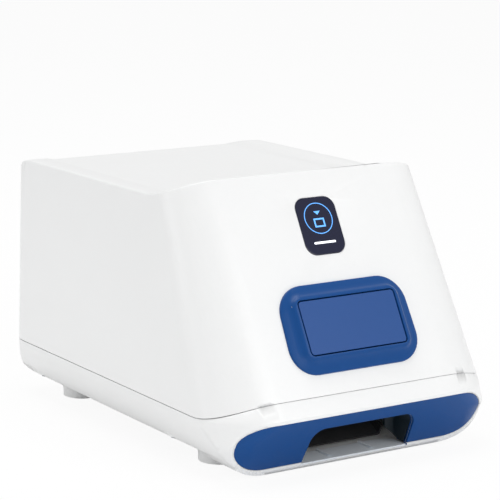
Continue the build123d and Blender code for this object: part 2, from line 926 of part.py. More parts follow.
def feed_chute():
    """Guide from the flap to the rollers."""
    back_y = roller_y - drive_roller_radius - roller_clearance
    half = chute_width / 2
    outer = half + chute_sheet
    bottom = chute_floor_z - chute_sheet
    wall_top = chute_floor_z + chute_wall_height
    chute = box_between((-outer, chute_front_y, bottom), (outer, back_y, chute_floor_z))
    for side in (-1, 1):
        low, high = sorted((side * half, side * outer))
        chute += box_between((low, chute_front_y, chute_floor_z), (high, back_y, wall_top))
        tab_low, tab_high = sorted((side * half, side * (frame_inner_x - seat_gap)))
        chute += box_between((tab_low, side_frame_front_y, bottom), (tab_high, back_y, chute_floor_z))
    return chute & body_form(wall + seat_gap)


def feed_motor():
    """Small motor inside the right side plate."""
    half = feed_motor_size / 2
    body = box_between(
        (frame_inner_x - feed_motor_length, feed_motor_y - half, feed_motor_z - half),
        (frame_inner_x, feed_motor_y + half, feed_motor_z + half),
    )
    bore = motor_shaft_radius + running_gap
    return body - rod_x_axis(frame_inner_x - feed_motor_length / 2, reach, feed_motor_y, feed_motor_z, bore)


def drive_pulley():
    """Pulley and shaft of the feed motor."""
    shaft_start = frame_inner_x - feed_motor_length / 2 + seat_gap
    shaft = rod_x_axis(shaft_start, pulley_x, feed_motor_y, feed_motor_z, motor_shaft_radius)
    return shaft + rod_x_axis(pulley_x, pulley_x + pulley_width, feed_motor_y, feed_motor_z, pulley_radius)


def feed_belt():
    """Smooth belt loop round the two equal pulleys."""
    start = (roller_y, drive_roller_z)
    end = (feed_motor_y, feed_motor_z)
    run = sqrt((end[0] - start[0]) ** 2 + (end[1] - start[1]) ** 2)
    turn = degrees(atan2(end[1] - start[1], end[0] - start[0]))
    inner = pulley_radius + seat_gap
    outer = inner + belt_thickness
    loop = SlotCenterToCenter(run, 2 * outer) - SlotCenterToCenter(run, 2 * inner)
    middle = Pos((start[0] + end[0]) / 2, (start[1] + end[1]) / 2) * Rot(0, 0, turn)
    belt = extrude(Plane.YZ * (middle * loop), belt_width / 2, both=True)
    return Pos(pulley_x + pulley_width / 2, 0, 0) * belt


# Linear drive and carriage

carriage_back_y = carriage_front_y + carriage_length


def carriage_blocks(width, length, centre_x, drop):
    """Two blocks under the carriage plate, at its front and back."""
    low_x = centre_x - width / 2
    high_x = centre_x + width / 2
    bottom = carriage_plate_z - drop
    starts = (carriage_front_y, carriage_back_y - length)
    return [box_between((low_x, y, bottom), (high_x, y + length, carriage_plate_z)) for y in starts]


def plate_carriage():
    """Carriage plate with four sliders and two hinge ears."""
    plate = box_between(
        (-carriage_width / 2, carriage_front_y, carriage_plate_z),
        (carriage_width / 2, carriage_back_y, carriage_plate_z + carriage_plate_thickness),
    )
    hole = box_between(
        (-bed_width / 2 - bed_ear_width - seat_gap, carriage_front_y + bed_front_margin, 0),
        (bed_width / 2 + bed_ear_width + seat_gap, bed_hinge_y + 2 * bed_barrel_radius, reach),
    )
    carriage = plate - hole
    for x in (-rod_x, rod_x):
        for block in carriage_blocks(slider_width, slider_length, x, slider_drop):
            carriage += block
        carriage -= rod_y_axis(-reach, reach, x, rod_z, rod_radius + running_gap)
    ear_inner = bed_width / 2 + seat_gap
    pin_end = ear_inner + bed_ear_width
    for side in (-1, 1):
        low, high = sorted((side * ear_inner, side * pin_end))
        carriage += box_between(
            (low, bed_hinge_y - bed_barrel_radius, bed_hinge_z - bed_barrel_radius),
            (high, bed_hinge_y + 2 * bed_barrel_radius + wall, bed_hinge_z + bed_barrel_radius),
        )
    return carriage + rod_x_axis(-pin_end, pin_end, bed_hinge_y, bed_hinge_z, bed_pin_radius)


def carriage_nut():
    """Brass nut under the carriage on the lead screw."""
    middle = (carriage_front_y + carriage_back_y) / 2
    nut = box_between(
        (screw_x - nut_width / 2, middle - nut_length / 2, rod_z - nut_width / 2),
        (screw_x + nut_width / 2, middle + nut_length / 2, carriage_plate_z),
    )
    return nut - rod_y_axis(-reach, reach, screw_x, rod_z, lead_screw_radius + running_gap)


def plate_bed():
    """Tipping bed that carries the plate, hinged at its back edge."""
    front = carriage_front_y + bed_front_margin + seat_gap
    bed = box_between(
        (-bed_width / 2, front, bed_top_z - bed_thickness), (bed_width / 2, bed_hinge_y, bed_top_z)
    )
    bed += rod_x_axis(-bed_width / 2, bed_width / 2, bed_hinge_y, bed_hinge_z, bed_barrel_radius)
    return bed - rod_x_axis(-reach, reach, bed_hinge_y, bed_hinge_z, bed_pin_radius + running_gap)


def guide_rods():
    """Two polished rods between the blocks."""
    end = rear_block_y + rear_block_depth
    return [rod_y_axis(front_block_y, end, x, rod_z, rod_radius) for x in (-rod_x, rod_x)]


def lead_screw():
    """Screw from the front block through the rear block into its motor."""
    end = rear_block_y + rear_block_depth + lead_motor_length / 2
    return rod_y_axis(front_block_y, end, screw_x, rod_z, lead_screw_radius)


def block(y, depth):
    """Upright bracket with a foot bar and two cheeks for rods and screw."""
    cheek_x = frame_inner_x - seat_gap
    bracket = box_between((-cheek_x, y, chassis_top_z), (cheek_x, y + depth, chassis_top_z + sheet))
    for side in (-1, 1):
        low, high = sorted((side * (rod_x - rod_radius - sheet), side * cheek_x))
        bracket += box_between((low, y, chassis_top_z), (high, y + depth, chassis_top_z + block_height))
    for x in (-rod_x, rod_x):
        bracket -= rod_y_axis(-reach, reach, x, rod_z, rod_radius)
    return bracket - rod_y_axis(-reach, reach, screw_x, rod_z, lead_screw_radius + running_gap)


def screw_motor():
    """Stepper motor behind the rear block."""
    y = rear_block_y + rear_block_depth
    half = lead_motor_size / 2
    high_x = frame_inner_x - seat_gap
    low_x = high_x - lead_motor_size
    motor = box_between((low_x, y, rod_z - half), (high_x, y + lead_motor_length, rod_z + half))
    bore_end = y + lead_motor_length / 2 + seat_gap
    return motor - rod_y_axis(-reach, bore_end, screw_x, rod_z, lead_screw_radius + running_gap)


def exit_ramp():
    """Channel from under the bed down to the tray."""
    low_y = hood_back_y + hood_wall
    low_z = tray_top_z + tray_rib_height
    drop = ramp_top_z - low_z
    run = ramp_top_y - low_y
    angle = degrees(atan2(drop, run))
    length = sqrt(drop**2 + run**2)
    width = exit_slot_width - 2 * slip_gap
    floor = box_between((-width / 2, 0, 0), (width / 2, length, tray_thickness))
    ramp = floor
    for side in (-1, 1):
        low, high = sorted((side * width / 2, side * (width / 2 - tray_thickness)))
        ramp += box_between((low, 0, 0), (high, length, ramp_wall_height))
    return Pos(0, low_y, low_z) * Rot(angle, 0, 0) * ramp


# Optics

bench_top_z = bench_z + bench_thickness


def optics_bench():
    """Plate over the side frames with the scan slot."""
    bench = box_between(
        (-frame_outer_x, bench_front_y, bench_z), (frame_outer_x, chassis_back_y, bench_top_z)
    )
    slot = box_between(
        (-scan_slot_length / 2, scan_line_y - scan_slot_width / 2, bench_z - wall),
        (scan_slot_length / 2, scan_line_y + scan_slot_width / 2, bench_top_z + wall),
    )
    return bench - slot


def polygon_motor():
    """Flat motor under the polygon."""
    motor = post(0, polygon_y, bench_top_z, bench_top_z + polygon_motor_height, polygon_motor_radius)
    return motor - post(0, polygon_y, bench_top_z + sheet, beam_z, polygon_shaft_radius + running_gap)


def polygon_mirror():
    """Spinning facet mirror with its shaft."""
    bottom = beam_z - polygon_height / 2
    facets = extrude(RegularPolygon(polygon_radius, polygon_facets), polygon_height)
    mirror = Pos(0, polygon_y, bottom) * facets
    shaft_start = bench_top_z + sheet + seat_gap
    return mirror + post(0, polygon_y, shaft_start, beam_z + polygon_height, polygon_shaft_radius)


def laser_module():
    """Laser barrel in its block, aimed at the polygon."""
    right = -polygon_radius - laser_gap
    barrel = rod_x_axis(right - laser_length, right, polygon_y, beam_z, laser_radius)
    half = laser_holder / 2
    holder = box_between(
        (right - laser_length / 2 - half, polygon_y - half, bench_top_z),
        (right - laser_length / 2 + half, polygon_y + half, beam_z + half),
    )
    return barrel + holder


def scan_lens():
    """Long lens, flat in front and bulging at the back."""
    half = lens_width / 2
    arc = ThreePointArc((-half, lens_y), (0, lens_y + lens_thickness), (half, lens_y))
    flat_y = lens_y - lens_thickness / 3
    flat = Polyline((half, lens_y), (half, flat_y), (-half, flat_y), (-half, lens_y))
    lens = extrude(make_face(flat.edges() + [arc]), beam_z + lens_height / 2 - bench_top_z)
    return Pos(0, 0, bench_top_z) * lens


def fold_mirror():
    """Long mirror at 45 degrees that turns the beam down through the slot."""
    mirror = Box(fold_mirror_length, fold_mirror_thickness, fold_mirror_height)
    return Pos(0, scan_line_y, beam_z) * Rot(45, 0, 0) * Pos(0, -fold_mirror_thickness / 2, 0) * mirror


def mirror_mounts():
    """Two end blocks that hold the fold mirror."""
    mounts = []
    for side in (-1, 1):
        low, high = sorted(
            (side * fold_mirror_length / 2, side * (fold_mirror_length / 2 + mirror_mount_width))
        )
        mounts.append(
            box_between(
                (low, scan_line_y - fold_mirror_height / 2, bench_top_z),
                (high, scan_line_y + fold_mirror_height / 2, beam_z + fold_mirror_height / 2),
            )
        )
    return mounts


def photomultiplier():
    """Light detector tube under the bench."""
    return rod_x_axis(-tube_length / 2, tube_length / 2, tube_y, tube_z, tube_radius)


def tube_saddle():
    """Saddle that hangs the tube from the bench."""
    half = saddle_width / 2
    saddle = box_between(
        (-half, tube_y - tube_radius, tube_z + tube_radius / 2), (half, tube_y + tube_radius, bench_z)
    )
    return saddle - rod_x_axis(-reach, reach, tube_y, tube_z, tube_radius)


def light_guide():
    """Clear wedge from the scan line to the tube."""
    near = scan_line_y + scan_slot_width / 2
    low = plate_z + wall
    tube_front = tube_y - tube_radius - seat_gap
    line = Polyline(
        (near, low), (near + wall, low), (tube_front, tube_z - wall), (tube_front, tube_z + wall), close=True
    )
    return extrude(Plane.YZ * make_face(line), light_guide_width / 2, both=True)


def eraser_lamp():
    """Lamp board across the frame that clears the plate."""
    half = frame_inner_x - seat_gap
    front = eraser_y - eraser_depth / 2
    back = eraser_y + eraser_depth / 2
    board = box_between((-half, front, eraser_z), (half, back, eraser_z + board_thickness))
    pitch = chute_width / eraser_lamps
    lamp = Box(eraser_lamp_size, eraser_lamp_size, eraser_lamp_size)
    for place in GridLocations(pitch, 1, eraser_lamps, 1):
        board += Pos(0, eraser_y, eraser_z - eraser_lamp_size / 2) * place * lamp
    return board


# Electronics and back panel

def main_board():
    """Main circuit board with its larger parts."""
    half = main_board_width / 2
    board = box_between(
        (-half, main_board_front_y, main_board_z), (half, main_board_back_y, main_board_z + board_thickness)
    )
    top = main_board_z + board_thickness
    chip = Pos(0, (main_board_front_y + main_board_back_y) / 2, top + board_thickness / 2)
    board += chip * Box(main_chip, main_chip, board_thickness)
    for place in GridLocations(side_chip_x, side_chip_y, 2, 2):
        board += chip * place * Box(side_chip_width, side_chip_length, board_thickness)
    return board


def board_standoffs():
    """Four pillars under the main board."""
    half = main_board_width / 2 - 2 * standoff_radius
    front = main_board_front_y + 2 * standoff_radius
    back = main_board_back_y - 2 * standoff_radius
    places = [(x, y) for x in (-half, half) for y in (front, back)]
    return [post(x, y, chassis_top_z, main_board_z, standoff_radius) for x, y in places]


panel_plane = rear_plane(0, panel_z)
panel_back_n = -wall - slip_gap - panel_thickness
panel_face_n = -wall - slip_gap


def rear_panel():
    """Dark plate behind the rear wall with holes for the sockets."""
    outline = RectangleRounded(
        panel_width + 2 * panel_overlap, panel_height + 2 * panel_overlap, panel_radius + panel_overlap
    )
    panel = level_slab(outline, panel_back_n, panel_face_n)
    panel -= Pos(-inlet_x, 0, 0) * level_slab(Circle(inlet_radius + slip_gap), panel_back_n, panel_face_n)
    port = Rectangle(port_width + 2 * slip_gap, port_height + 2 * slip_gap)
    panel -= Pos(-port_x, 0, 0) * level_slab(port, panel_back_n, panel_face_n)
    switch = Rectangle(switch_width + 2 * slip_gap, switch_height + 2 * slip_gap)
    panel -= Pos(-switch_x, 0, 0) * level_slab(switch, panel_back_n, panel_face_n)
    return panel_plane * panel


def power_inlet():
    """Round inlet with a centre pin."""
    back = panel_face_n - socket_depth
    inlet = level_slab(Circle(inlet_radius), back, panel_face_n + port_wall)
    inlet -= level_slab(Circle(inlet_bore), back + port_wall, reach)
    inlet += level_slab(Circle(inlet_pin), back + port_wall / 2, panel_face_n)
    return panel_plane * Pos(-inlet_x, 0, 0) * inlet


def data_port():
    """Square data socket."""
    back = panel_face_n - socket_depth
    port = level_slab(Rectangle(port_width, port_height), back, panel_face_n + port_wall)
    mouth = Rectangle(port_width - 2 * port_wall, port_height - 2 * port_wall)
    port -= level_slab(mouth, back + port_wall, reach)
    return panel_plane * Pos(-port_x, 0, 0) * port


rocker_depth = socket_depth / 2
rocker_inner_width = switch_width - 2 * port_wall
rocker_inner_height = switch_height - 2 * port_wall
rocker_pin_half = rocker_inner_width / 2 + port_wall / 2


def rocker_pivot(half, radius):
    """Round pivot across the middle of the rocker, in the panel's plane."""
    return extrude(Plane.YZ * Circle(radius), half, both=True)


def switch_body():
    """Switch housing with a flange on the panel."""
    back = panel_face_n - socket_depth
    body = level_slab(Rectangle(switch_width, switch_height), back, panel_face_n)
    flange = Rectangle(switch_width + 2 * switch_flange, switch_height + 2 * switch_flange)
    body += level_slab(flange, panel_face_n, panel_face_n + switch_flange_thickness)
    body -= level_slab(Rectangle(rocker_inner_width, rocker_inner_height), back + port_wall, reach)
    socket = rocker_pivot(rocker_pin_half + slip_gap, rocker_pin_radius + running_gap)
    body -= Pos(0, 0, panel_face_n) * socket
    return panel_plane * Pos(-switch_x, 0, 0) * body


def power_rocker():
    """Rocker in its off position, pivoted across its middle."""
    half = rocker_inner_height / 2 - 2 * seat_gap
    pivot = panel_face_n
    line = Polyline(
        (-half, 0),
        (-half, rocker_proud),
        (0, rocker_proud / 2),
        (half, rocker_proud),
        (half, 0),
        (0, -rocker_depth),
        close=True,
    )
    block_face = make_face(line)
    rocker = extrude(Plane.YZ * block_face, rocker_inner_width / 2 - seat_gap, both=True)
    rocker += rocker_pivot(rocker_pin_half, rocker_pin_radius)
    tilt = Pos(0, 0, pivot) * Rot(-rocker_throw / 2, 0, 0)
    return panel_plane * Pos(-switch_x, 0, 0) * tilt * rocker


# Fasteners

def flanged_screw(x, y, head_z, length, points_up):
    """Screw with a flat round head."""
    way = 1 if points_up else -1
    head = sorted((head_z, head_z + way * screw_head_height))
    shank = sorted((head_z, head_z + way * (screw_head_height + length)))
    return post(x, y, head[0], head[1], screw_head_radius) + post(x, y, shank[0], shank[1], screw_radius)


def shell_screws():
    """Four screws up through the base into the cover."""
    return [
        flanged_screw(x, y, base_bottom_z, shell_screw_length, True) for x, y in shell_screw_places
    ]


def chassis_screws():
    """Four screws that hold the chassis plate to the base."""
    length = chassis_top_z - base_bottom_z - wall / 2 - seat_gap
    head_top = chassis_top_z + screw_head_height
    return [flanged_screw(x, y, head_top, length, False) for x, y in chassis_screw_places]


parts = {
    "upper_shell": upper_shell(),
    "base_shell": base_shell(),
    "foot_pads": foot_pads(),
    "nose_fascia": nose_fascia(),
    "exit_hood": exit_hood(),
    "receiving_tray": receiving_tray(),
    "flap_bezel": flap_bezel(),
    "insert_flap": insert_flap(),
    "flap_pin": flap_pin(),
    "flap_spring": flap_spring(),
    "status_window": status_window(),
    "status_mark": status_mark(),
    "status_bar": status_bar(),
    "status_board": status_board(),
    "chassis_plate": chassis_plate(),
    "side_frames": side_frames(),
    "roller_bearings": roller_bearings(),
    "feed_roller": feed_roller(),
    "pinch_roller": pinch_roller(),
    "feed_chute": feed_chute(),
    "feed_motor": feed_motor(),
    "drive_pulley": drive_pulley(),
    "feed_belt": feed_belt(),
    "plate_carriage": plate_carriage(),
    "carriage_nut": carriage_nut(),
    "plate_bed": plate_bed(),
    "guide_rods": guide_rods(),
    "lead_screw": lead_screw(),
    "front_block": block(front_block_y, front_block_depth),
    "rear_block": block(rear_block_y, rear_block_depth),
    "screw_motor": screw_motor(),
    "exit_ramp": exit_ramp(),
    "optics_bench": optics_bench(),
    "polygon_motor": polygon_motor(),
    "polygon_mirror": polygon_mirror(),
    "laser_module": laser_module(),
    "scan_lens": scan_lens(),
    "fold_mirror": fold_mirror(),
    "mirror_mounts": mirror_mounts(),
    "photomultiplier": photomultiplier(),
    "tube_saddle": tube_saddle(),
    "light_guide": light_guide(),
    "eraser_lamp": eraser_lamp(),
    "main_board": main_board(),
    "board_standoffs": board_standoffs(),
    "rear_panel": rear_panel(),
    "power_inlet": power_inlet(),
    "data_port": data_port(),
    "switch_body": switch_body(),
    "power_rocker": power_rocker(),
    "shell_screws": shell_screws(),
    "chassis_screws": chassis_screws(),
}

os.makedirs("parts", exist_ok=True)
for name, solid in parts.items():
    shape = Compound(children=solid) if isinstance(solid, list) else solid
    export_step(shape, f"parts/{name}.step")
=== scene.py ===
import logging
from dataclasses import dataclass
from enum import Enum
from math import pi, radians
from typing import Callable, ClassVar, Optional

import bmesh
import bpy
from mathutils import Matrix, Vector


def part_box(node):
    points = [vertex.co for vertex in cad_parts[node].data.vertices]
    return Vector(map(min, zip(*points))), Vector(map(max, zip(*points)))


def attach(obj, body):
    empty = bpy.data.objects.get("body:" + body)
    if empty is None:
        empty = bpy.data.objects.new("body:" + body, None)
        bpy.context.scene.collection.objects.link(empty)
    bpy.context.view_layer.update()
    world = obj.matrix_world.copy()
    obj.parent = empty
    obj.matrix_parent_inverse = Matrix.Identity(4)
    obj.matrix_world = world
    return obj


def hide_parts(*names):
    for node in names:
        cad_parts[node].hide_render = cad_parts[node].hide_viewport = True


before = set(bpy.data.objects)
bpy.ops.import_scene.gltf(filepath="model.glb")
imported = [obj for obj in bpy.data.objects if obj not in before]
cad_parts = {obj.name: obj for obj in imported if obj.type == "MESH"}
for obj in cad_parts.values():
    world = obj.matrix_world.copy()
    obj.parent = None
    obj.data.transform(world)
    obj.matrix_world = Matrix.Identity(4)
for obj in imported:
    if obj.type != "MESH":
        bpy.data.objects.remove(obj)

log = logging.getLogger("plate_scanner")
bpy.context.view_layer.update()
Colour = tuple[float, float, float]
Place = tuple[float, float, float]
MM = 0.001
# Places of the colour sockets on a Mix node.
MIX_SHARE, MIX_LOW, MIX_HIGH = 0, 6, 7
MIX_RESULT = 2


class Axis(Enum):
    """Direction of a brushed or turned finish."""

    ALONG_X = (0.02, 1.0, 1.0)
    ALONG_Y = (1.0, 0.02, 1.0)
    ALONG_Z = (1.0, 1.0, 0.02)


def linear(red: int, green: int, blue: int) -> Colour:
    """Turn a screen colour into the linear colour that the shaders use, by the sRGB curve.

    Args:
        red: Red from 0 to 255.
        green: Green from 0 to 255.
        blue: Blue from 0 to 255.

    Returns:
        The three linear values.
    """
    shares = [value / 255 for value in (red, green, blue)]
    return tuple(s / 12.92 if s <= 0.04045 else ((s + 0.055) / 1.055) ** 2.4 for s in shares)


class Graph:
    """Node tree with short ways to add nodes and join their sockets."""

    def __init__(self, tree: bpy.types.NodeTree) -> None:
        """Keep the tree that the nodes go into."""
        self.tree = tree

    def add(self, kind: str, **inputs: object) -> bpy.types.Node:
        """Add a node and set its inputs.

        Args:
            kind: Shader node type without its prefix.
            inputs: Input names, with underscores for spaces, and their values.

        Returns:
            The new node.
        """
        node = self.tree.nodes.new("ShaderNode" + kind)
        for name, value in inputs.items():
            node.inputs[name.replace("_", " ")].default_value = value
        return node

    def join(self, output: bpy.types.NodeSocket, target: bpy.types.NodeSocket) -> None:
        """Join an output to an input."""
        self.tree.links.new(output, target)

    def maths(self, operation: str, first: object, second: object) -> bpy.types.NodeSocket:
        """Add a maths node.

        Args:
            operation: Blender's name of the operation.
            first: Socket or number.
            second: Socket or number.

        Returns:
            The result's socket.
        """
        node = self.tree.nodes.new("ShaderNodeMath")
        node.operation = operation
        for place, value in enumerate((first, second)):
            if isinstance(value, (int, float)):
                node.inputs[place].default_value = value
            else:
                self.join(value, node.inputs[place])
        return node.outputs[0]

    def blend(self, share: object, low: object, high: object) -> bpy.types.NodeSocket:
        """Mix two colours.

        Args:
            share: Socket or number that picks the second colour.
            low: First colour, as a socket or three numbers.
            high: Second colour, as a socket or three numbers.

        Returns:
            The mixed colour's socket.
        """
        node = self.tree.nodes.new("ShaderNodeMix")
        node.data_type = "RGBA"
        for place, value in ((MIX_SHARE, share), (MIX_LOW, low), (MIX_HIGH, high)):
            if isinstance(value, bpy.types.NodeSocket):
                self.join(value, node.inputs[place])
            elif isinstance(value, (int, float)):
                node.inputs[place].default_value = value
            else:
                node.inputs[place].default_value = (*value, 1.0)
        return node.outputs[MIX_RESULT]

    def spread(self, value: bpy.types.NodeSocket, low: float, high: float) -> bpy.types.NodeSocket:
        """Map a mask of 0 to 1 onto a range.

        Args:
            value: Mask socket.
            low: Result at 0.
            high: Result at 1.

        Returns:
            The mapped value's socket.
        """
        node = self.add("MapRange")
        node.inputs["To Min"].default_value = low
        node.inputs["To Max"].default_value = high
        self.join(value, node.inputs["Value"])
        return node.outputs["Result"]


class EffectGroups:
    """Shader effects that several finishes share, each built once."""

    GRAIN_SCALE: ClassVar[float] = 1800.0
    PIT_SHARE: ClassVar[float] = 0.5
    DRIFT_SCALE: ClassVar[float] = 14.0
    SPECK_SCALE: ClassVar[float] = 420.0
    DUST_COLOUR: ClassVar[Colour] = (0.36, 0.35, 0.33)
    PATCH_SCALE: ClassVar[float] = 260.0
    EDGE_START: ClassVar[float] = 0.52
    EDGE_FULL: ClassVar[float] = 0.62

    def __init__(self) -> None:
        """Build every group."""
        self.grain = self._grain()
        self.drift = self._drift()
        self.dust = self._dust()
        self.wear = self._wear()

    @staticmethod
    def _start(
        name: str, inputs: dict[str, object], outputs: dict[str, str]
    ) -> tuple[Graph, dict, dict]:
        """Make a group with its sockets.

        Args:
            name: Group name.
            inputs: Input names with default numbers or colours.
            outputs: Output names with their socket kinds.

        Returns:
            The graph, its input sockets and its output sockets.
        """
        tree = bpy.data.node_groups.new(name, "ShaderNodeTree")
        for label, value in inputs.items():
            kind = "NodeSocketFloat" if isinstance(value, float) else "NodeSocketColor"
            socket = tree.interface.new_socket(label, in_out="INPUT", socket_type=kind)
            socket.default_value = value if isinstance(value, float) else (*value, 1.0)
        for label, kind in outputs.items():
            tree.interface.new_socket(label, in_out="OUTPUT", socket_type=kind)
        entry = tree.nodes.new("NodeGroupInput")
        leave = tree.nodes.new("NodeGroupOutput")
        return Graph(tree), entry.outputs, leave.inputs

    def _grain(self) -> bpy.types.NodeTree:
        """Fine texture that a mould or a casting leaves."""
        graph, entry, leave = self._start(
            "fine_grain",
            {"Scale": self.GRAIN_SCALE},
            {"Height": "NodeSocketFloat", "Mask": "NodeSocketFloat"},
        )
        place = graph.add("TexCoord")
        fine = graph.add("TexNoise", Detail=3.0, Roughness=0.6)
        coarse = graph.add("TexVoronoi")
        for texture in (fine, coarse):
            graph.join(place.outputs["Object"], texture.inputs["Vector"])
            graph.join(entry["Scale"], texture.inputs["Scale"])
        pits = graph.maths("MULTIPLY", coarse.outputs["Distance"], self.PIT_SHARE)
        graph.join(graph.maths("ADD", fine.outputs["Fac"], pits), leave["Height"])
        graph.join(fine.outputs["Fac"], leave["Mask"])
        return graph.tree

    def _drift(self) -> bpy.types.NodeTree:
        """Slow change of tone across a moulding."""
        graph, entry, leave = self._start(
            "tone_drift",
            {"Colour": (0.8, 0.8, 0.8), "Shade": (0.7, 0.7, 0.7), "Scale": self.DRIFT_SCALE},
            {"Colour": "NodeSocketColor", "Mask": "NodeSocketFloat"},
        )
        place = graph.add("TexCoord")
        slow = graph.add("TexNoise", Detail=2.0, Roughness=0.5)
        graph.join(place.outputs["Object"], slow.inputs["Vector"])
        graph.join(entry["Scale"], slow.inputs["Scale"])
        tone = graph.blend(slow.outputs["Fac"], entry["Colour"], entry["Shade"])
        graph.join(tone, leave["Colour"])
        graph.join(slow.outputs["Fac"], leave["Mask"])
        return graph.tree

    def _dust(self) -> bpy.types.NodeTree:
        """Thin dust on faces that look up."""
        graph, entry, leave = self._start(
            "settled_dust",
            {"Colour": (0.8, 0.8, 0.8), "Amount": 0.05},
            {"Colour": "NodeSocketColor", "Mask": "NodeSocketFloat"},
        )
        place = graph.add("TexCoord")
        shape = graph.add("NewGeometry")
        split = graph.add("SeparateXYZ")
        graph.join(shape.outputs["Normal"], split.inputs["Vector"])
        specks = graph.add("TexNoise", Scale=self.SPECK_SCALE, Detail=4.0, Roughness=0.7)
        graph.join(place.outputs["Object"], specks.inputs["Vector"])
        upward = graph.maths("MAXIMUM", split.outputs["Z"], 0.0)
        spots = graph.maths("MULTIPLY", upward, specks.outputs["Fac"])
        mask = graph.maths("MULTIPLY", spots, entry["Amount"])
        graph.join(graph.blend(mask, entry["Colour"], self.DUST_COLOUR), leave["Colour"])
        graph.join(mask, leave["Mask"])
        return graph.tree

    def _wear(self) -> bpy.types.NodeTree:
        """Rubbed edges, found from how sharply the surface turns."""
        graph, entry, leave = self._start(
            "edge_wear",
            {"Colour": (0.5, 0.5, 0.5), "Worn": (0.7, 0.7, 0.7), "Amount": 0.4},
            {"Colour": "NodeSocketColor", "Mask": "NodeSocketFloat"},
        )
        place = graph.add("TexCoord")
        shape = graph.add("NewGeometry")
        edge = graph.add("MapRange")
        edge.inputs["From Min"].default_value = self.EDGE_START
        edge.inputs["From Max"].default_value = self.EDGE_FULL
        graph.join(shape.outputs["Pointiness"], edge.inputs["Value"])
        broken = graph.add("TexNoise", Scale=self.PATCH_SCALE, Detail=3.0)
        graph.join(place.outputs["Object"], broken.inputs["Vector"])
        patchy = graph.maths("MULTIPLY", edge.outputs["Result"], broken.outputs["Fac"])
        mask = graph.maths("MULTIPLY", patchy, entry["Amount"])
        graph.join(graph.blend(mask, entry["Colour"], entry["Worn"]), leave["Colour"])
        graph.join(mask, leave["Mask"])
        return graph.tree


class Surface:
    """One material being put together round a Principled shader."""

    def __init__(self, name: str, groups: EffectGroups) -> None:
        """Start a material.

        Args:
            name: Material name.
            groups: Shared effects.
        """
        self.material = bpy.data.materials.new(name)
        self.material.use_nodes = True
        self.graph = Graph(self.material.node_tree)
        self.shader = self.material.node_tree.nodes["Principled BSDF"]
        self.groups = groups

    def effect(self, tree: bpy.types.NodeTree, **values: object) -> bpy.types.Node:
        """Place a shared effect with its own values.

        Args:
            tree: The effect's group.
            values: Input names with numbers or colours.

        Returns:
            The group node.
        """
        node = self.graph.tree.nodes.new("ShaderNodeGroup")
        node.node_tree = tree
        for name, value in values.items():
            node.inputs[name].default_value = value if isinstance(value, float) else (*value, 1.0)
        return node

    def relief(self, height: bpy.types.NodeSocket, strength: float, depth: float) -> None:
        """Raise the surface by a height mask.

        Args:
            height: Height socket.
            strength: Bump strength.
            depth: Bump distance in metres.
        """
        bump = self.graph.add("Bump", Strength=strength, Distance=depth)
        self.graph.join(height, bump.inputs["Height"])
        self.graph.join(bump.outputs["Normal"], self.shader.inputs["Normal"])


@dataclass(frozen=True)
class Moulded:
    """Moulded plastic: slow tone drift, mould grain, rubbed edges and a trace of dust."""

    name: str
    colour: Colour
    roughness: float = 0.32
    grain: float = 0.1
    grain_scale: float = 2200.0
    drift: float = 0.04
    dust: float = 0.08
    wear: float = 0.25
    specular: float = 0.5
    WORN_GAIN: ClassVar[float] = 1.25
    WORN_LIFT: ClassVar[float] = 0.03
    BAND: ClassVar[float] = 0.05
    GRAIN_DEPTH: ClassVar[float] = 0.00004

    def build(self, groups: EffectGroups) -> bpy.types.Material:
        """Make the material.

        Args:
            groups: Shared effects.

        Returns:
            The material.
        """
        surface = Surface(self.name, groups)
        graph, shader = surface.graph, surface.shader
        shade = tuple(value * (1 - 2 * self.drift) for value in self.colour)
        worn = tuple(min(1.0, value * self.WORN_GAIN + self.WORN_LIFT) for value in self.colour)
        drift = surface.effect(groups.drift, Colour=self.colour, Shade=shade)
        wear = surface.effect(groups.wear, Worn=worn, Amount=self.wear)
        dust = surface.effect(groups.dust, Amount=self.dust)
        graph.join(drift.outputs["Colour"], wear.inputs["Colour"])
        graph.join(wear.outputs["Colour"], dust.inputs["Colour"])
        graph.join(dust.outputs["Colour"], shader.inputs["Base Color"])
        grain = surface.effect(groups.grain, Scale=self.grain_scale)
        graph.join(
            graph.spread(
                drift.outputs["Mask"], self.roughness - self.BAND, self.roughness + self.BAND
            ),
            shader.inputs["Roughness"],
        )
        shader.inputs["Specular IOR Level"].default_value = self.specular
        surface.relief(grain.outputs["Height"], self.grain, self.GRAIN_DEPTH)
        return surface.material


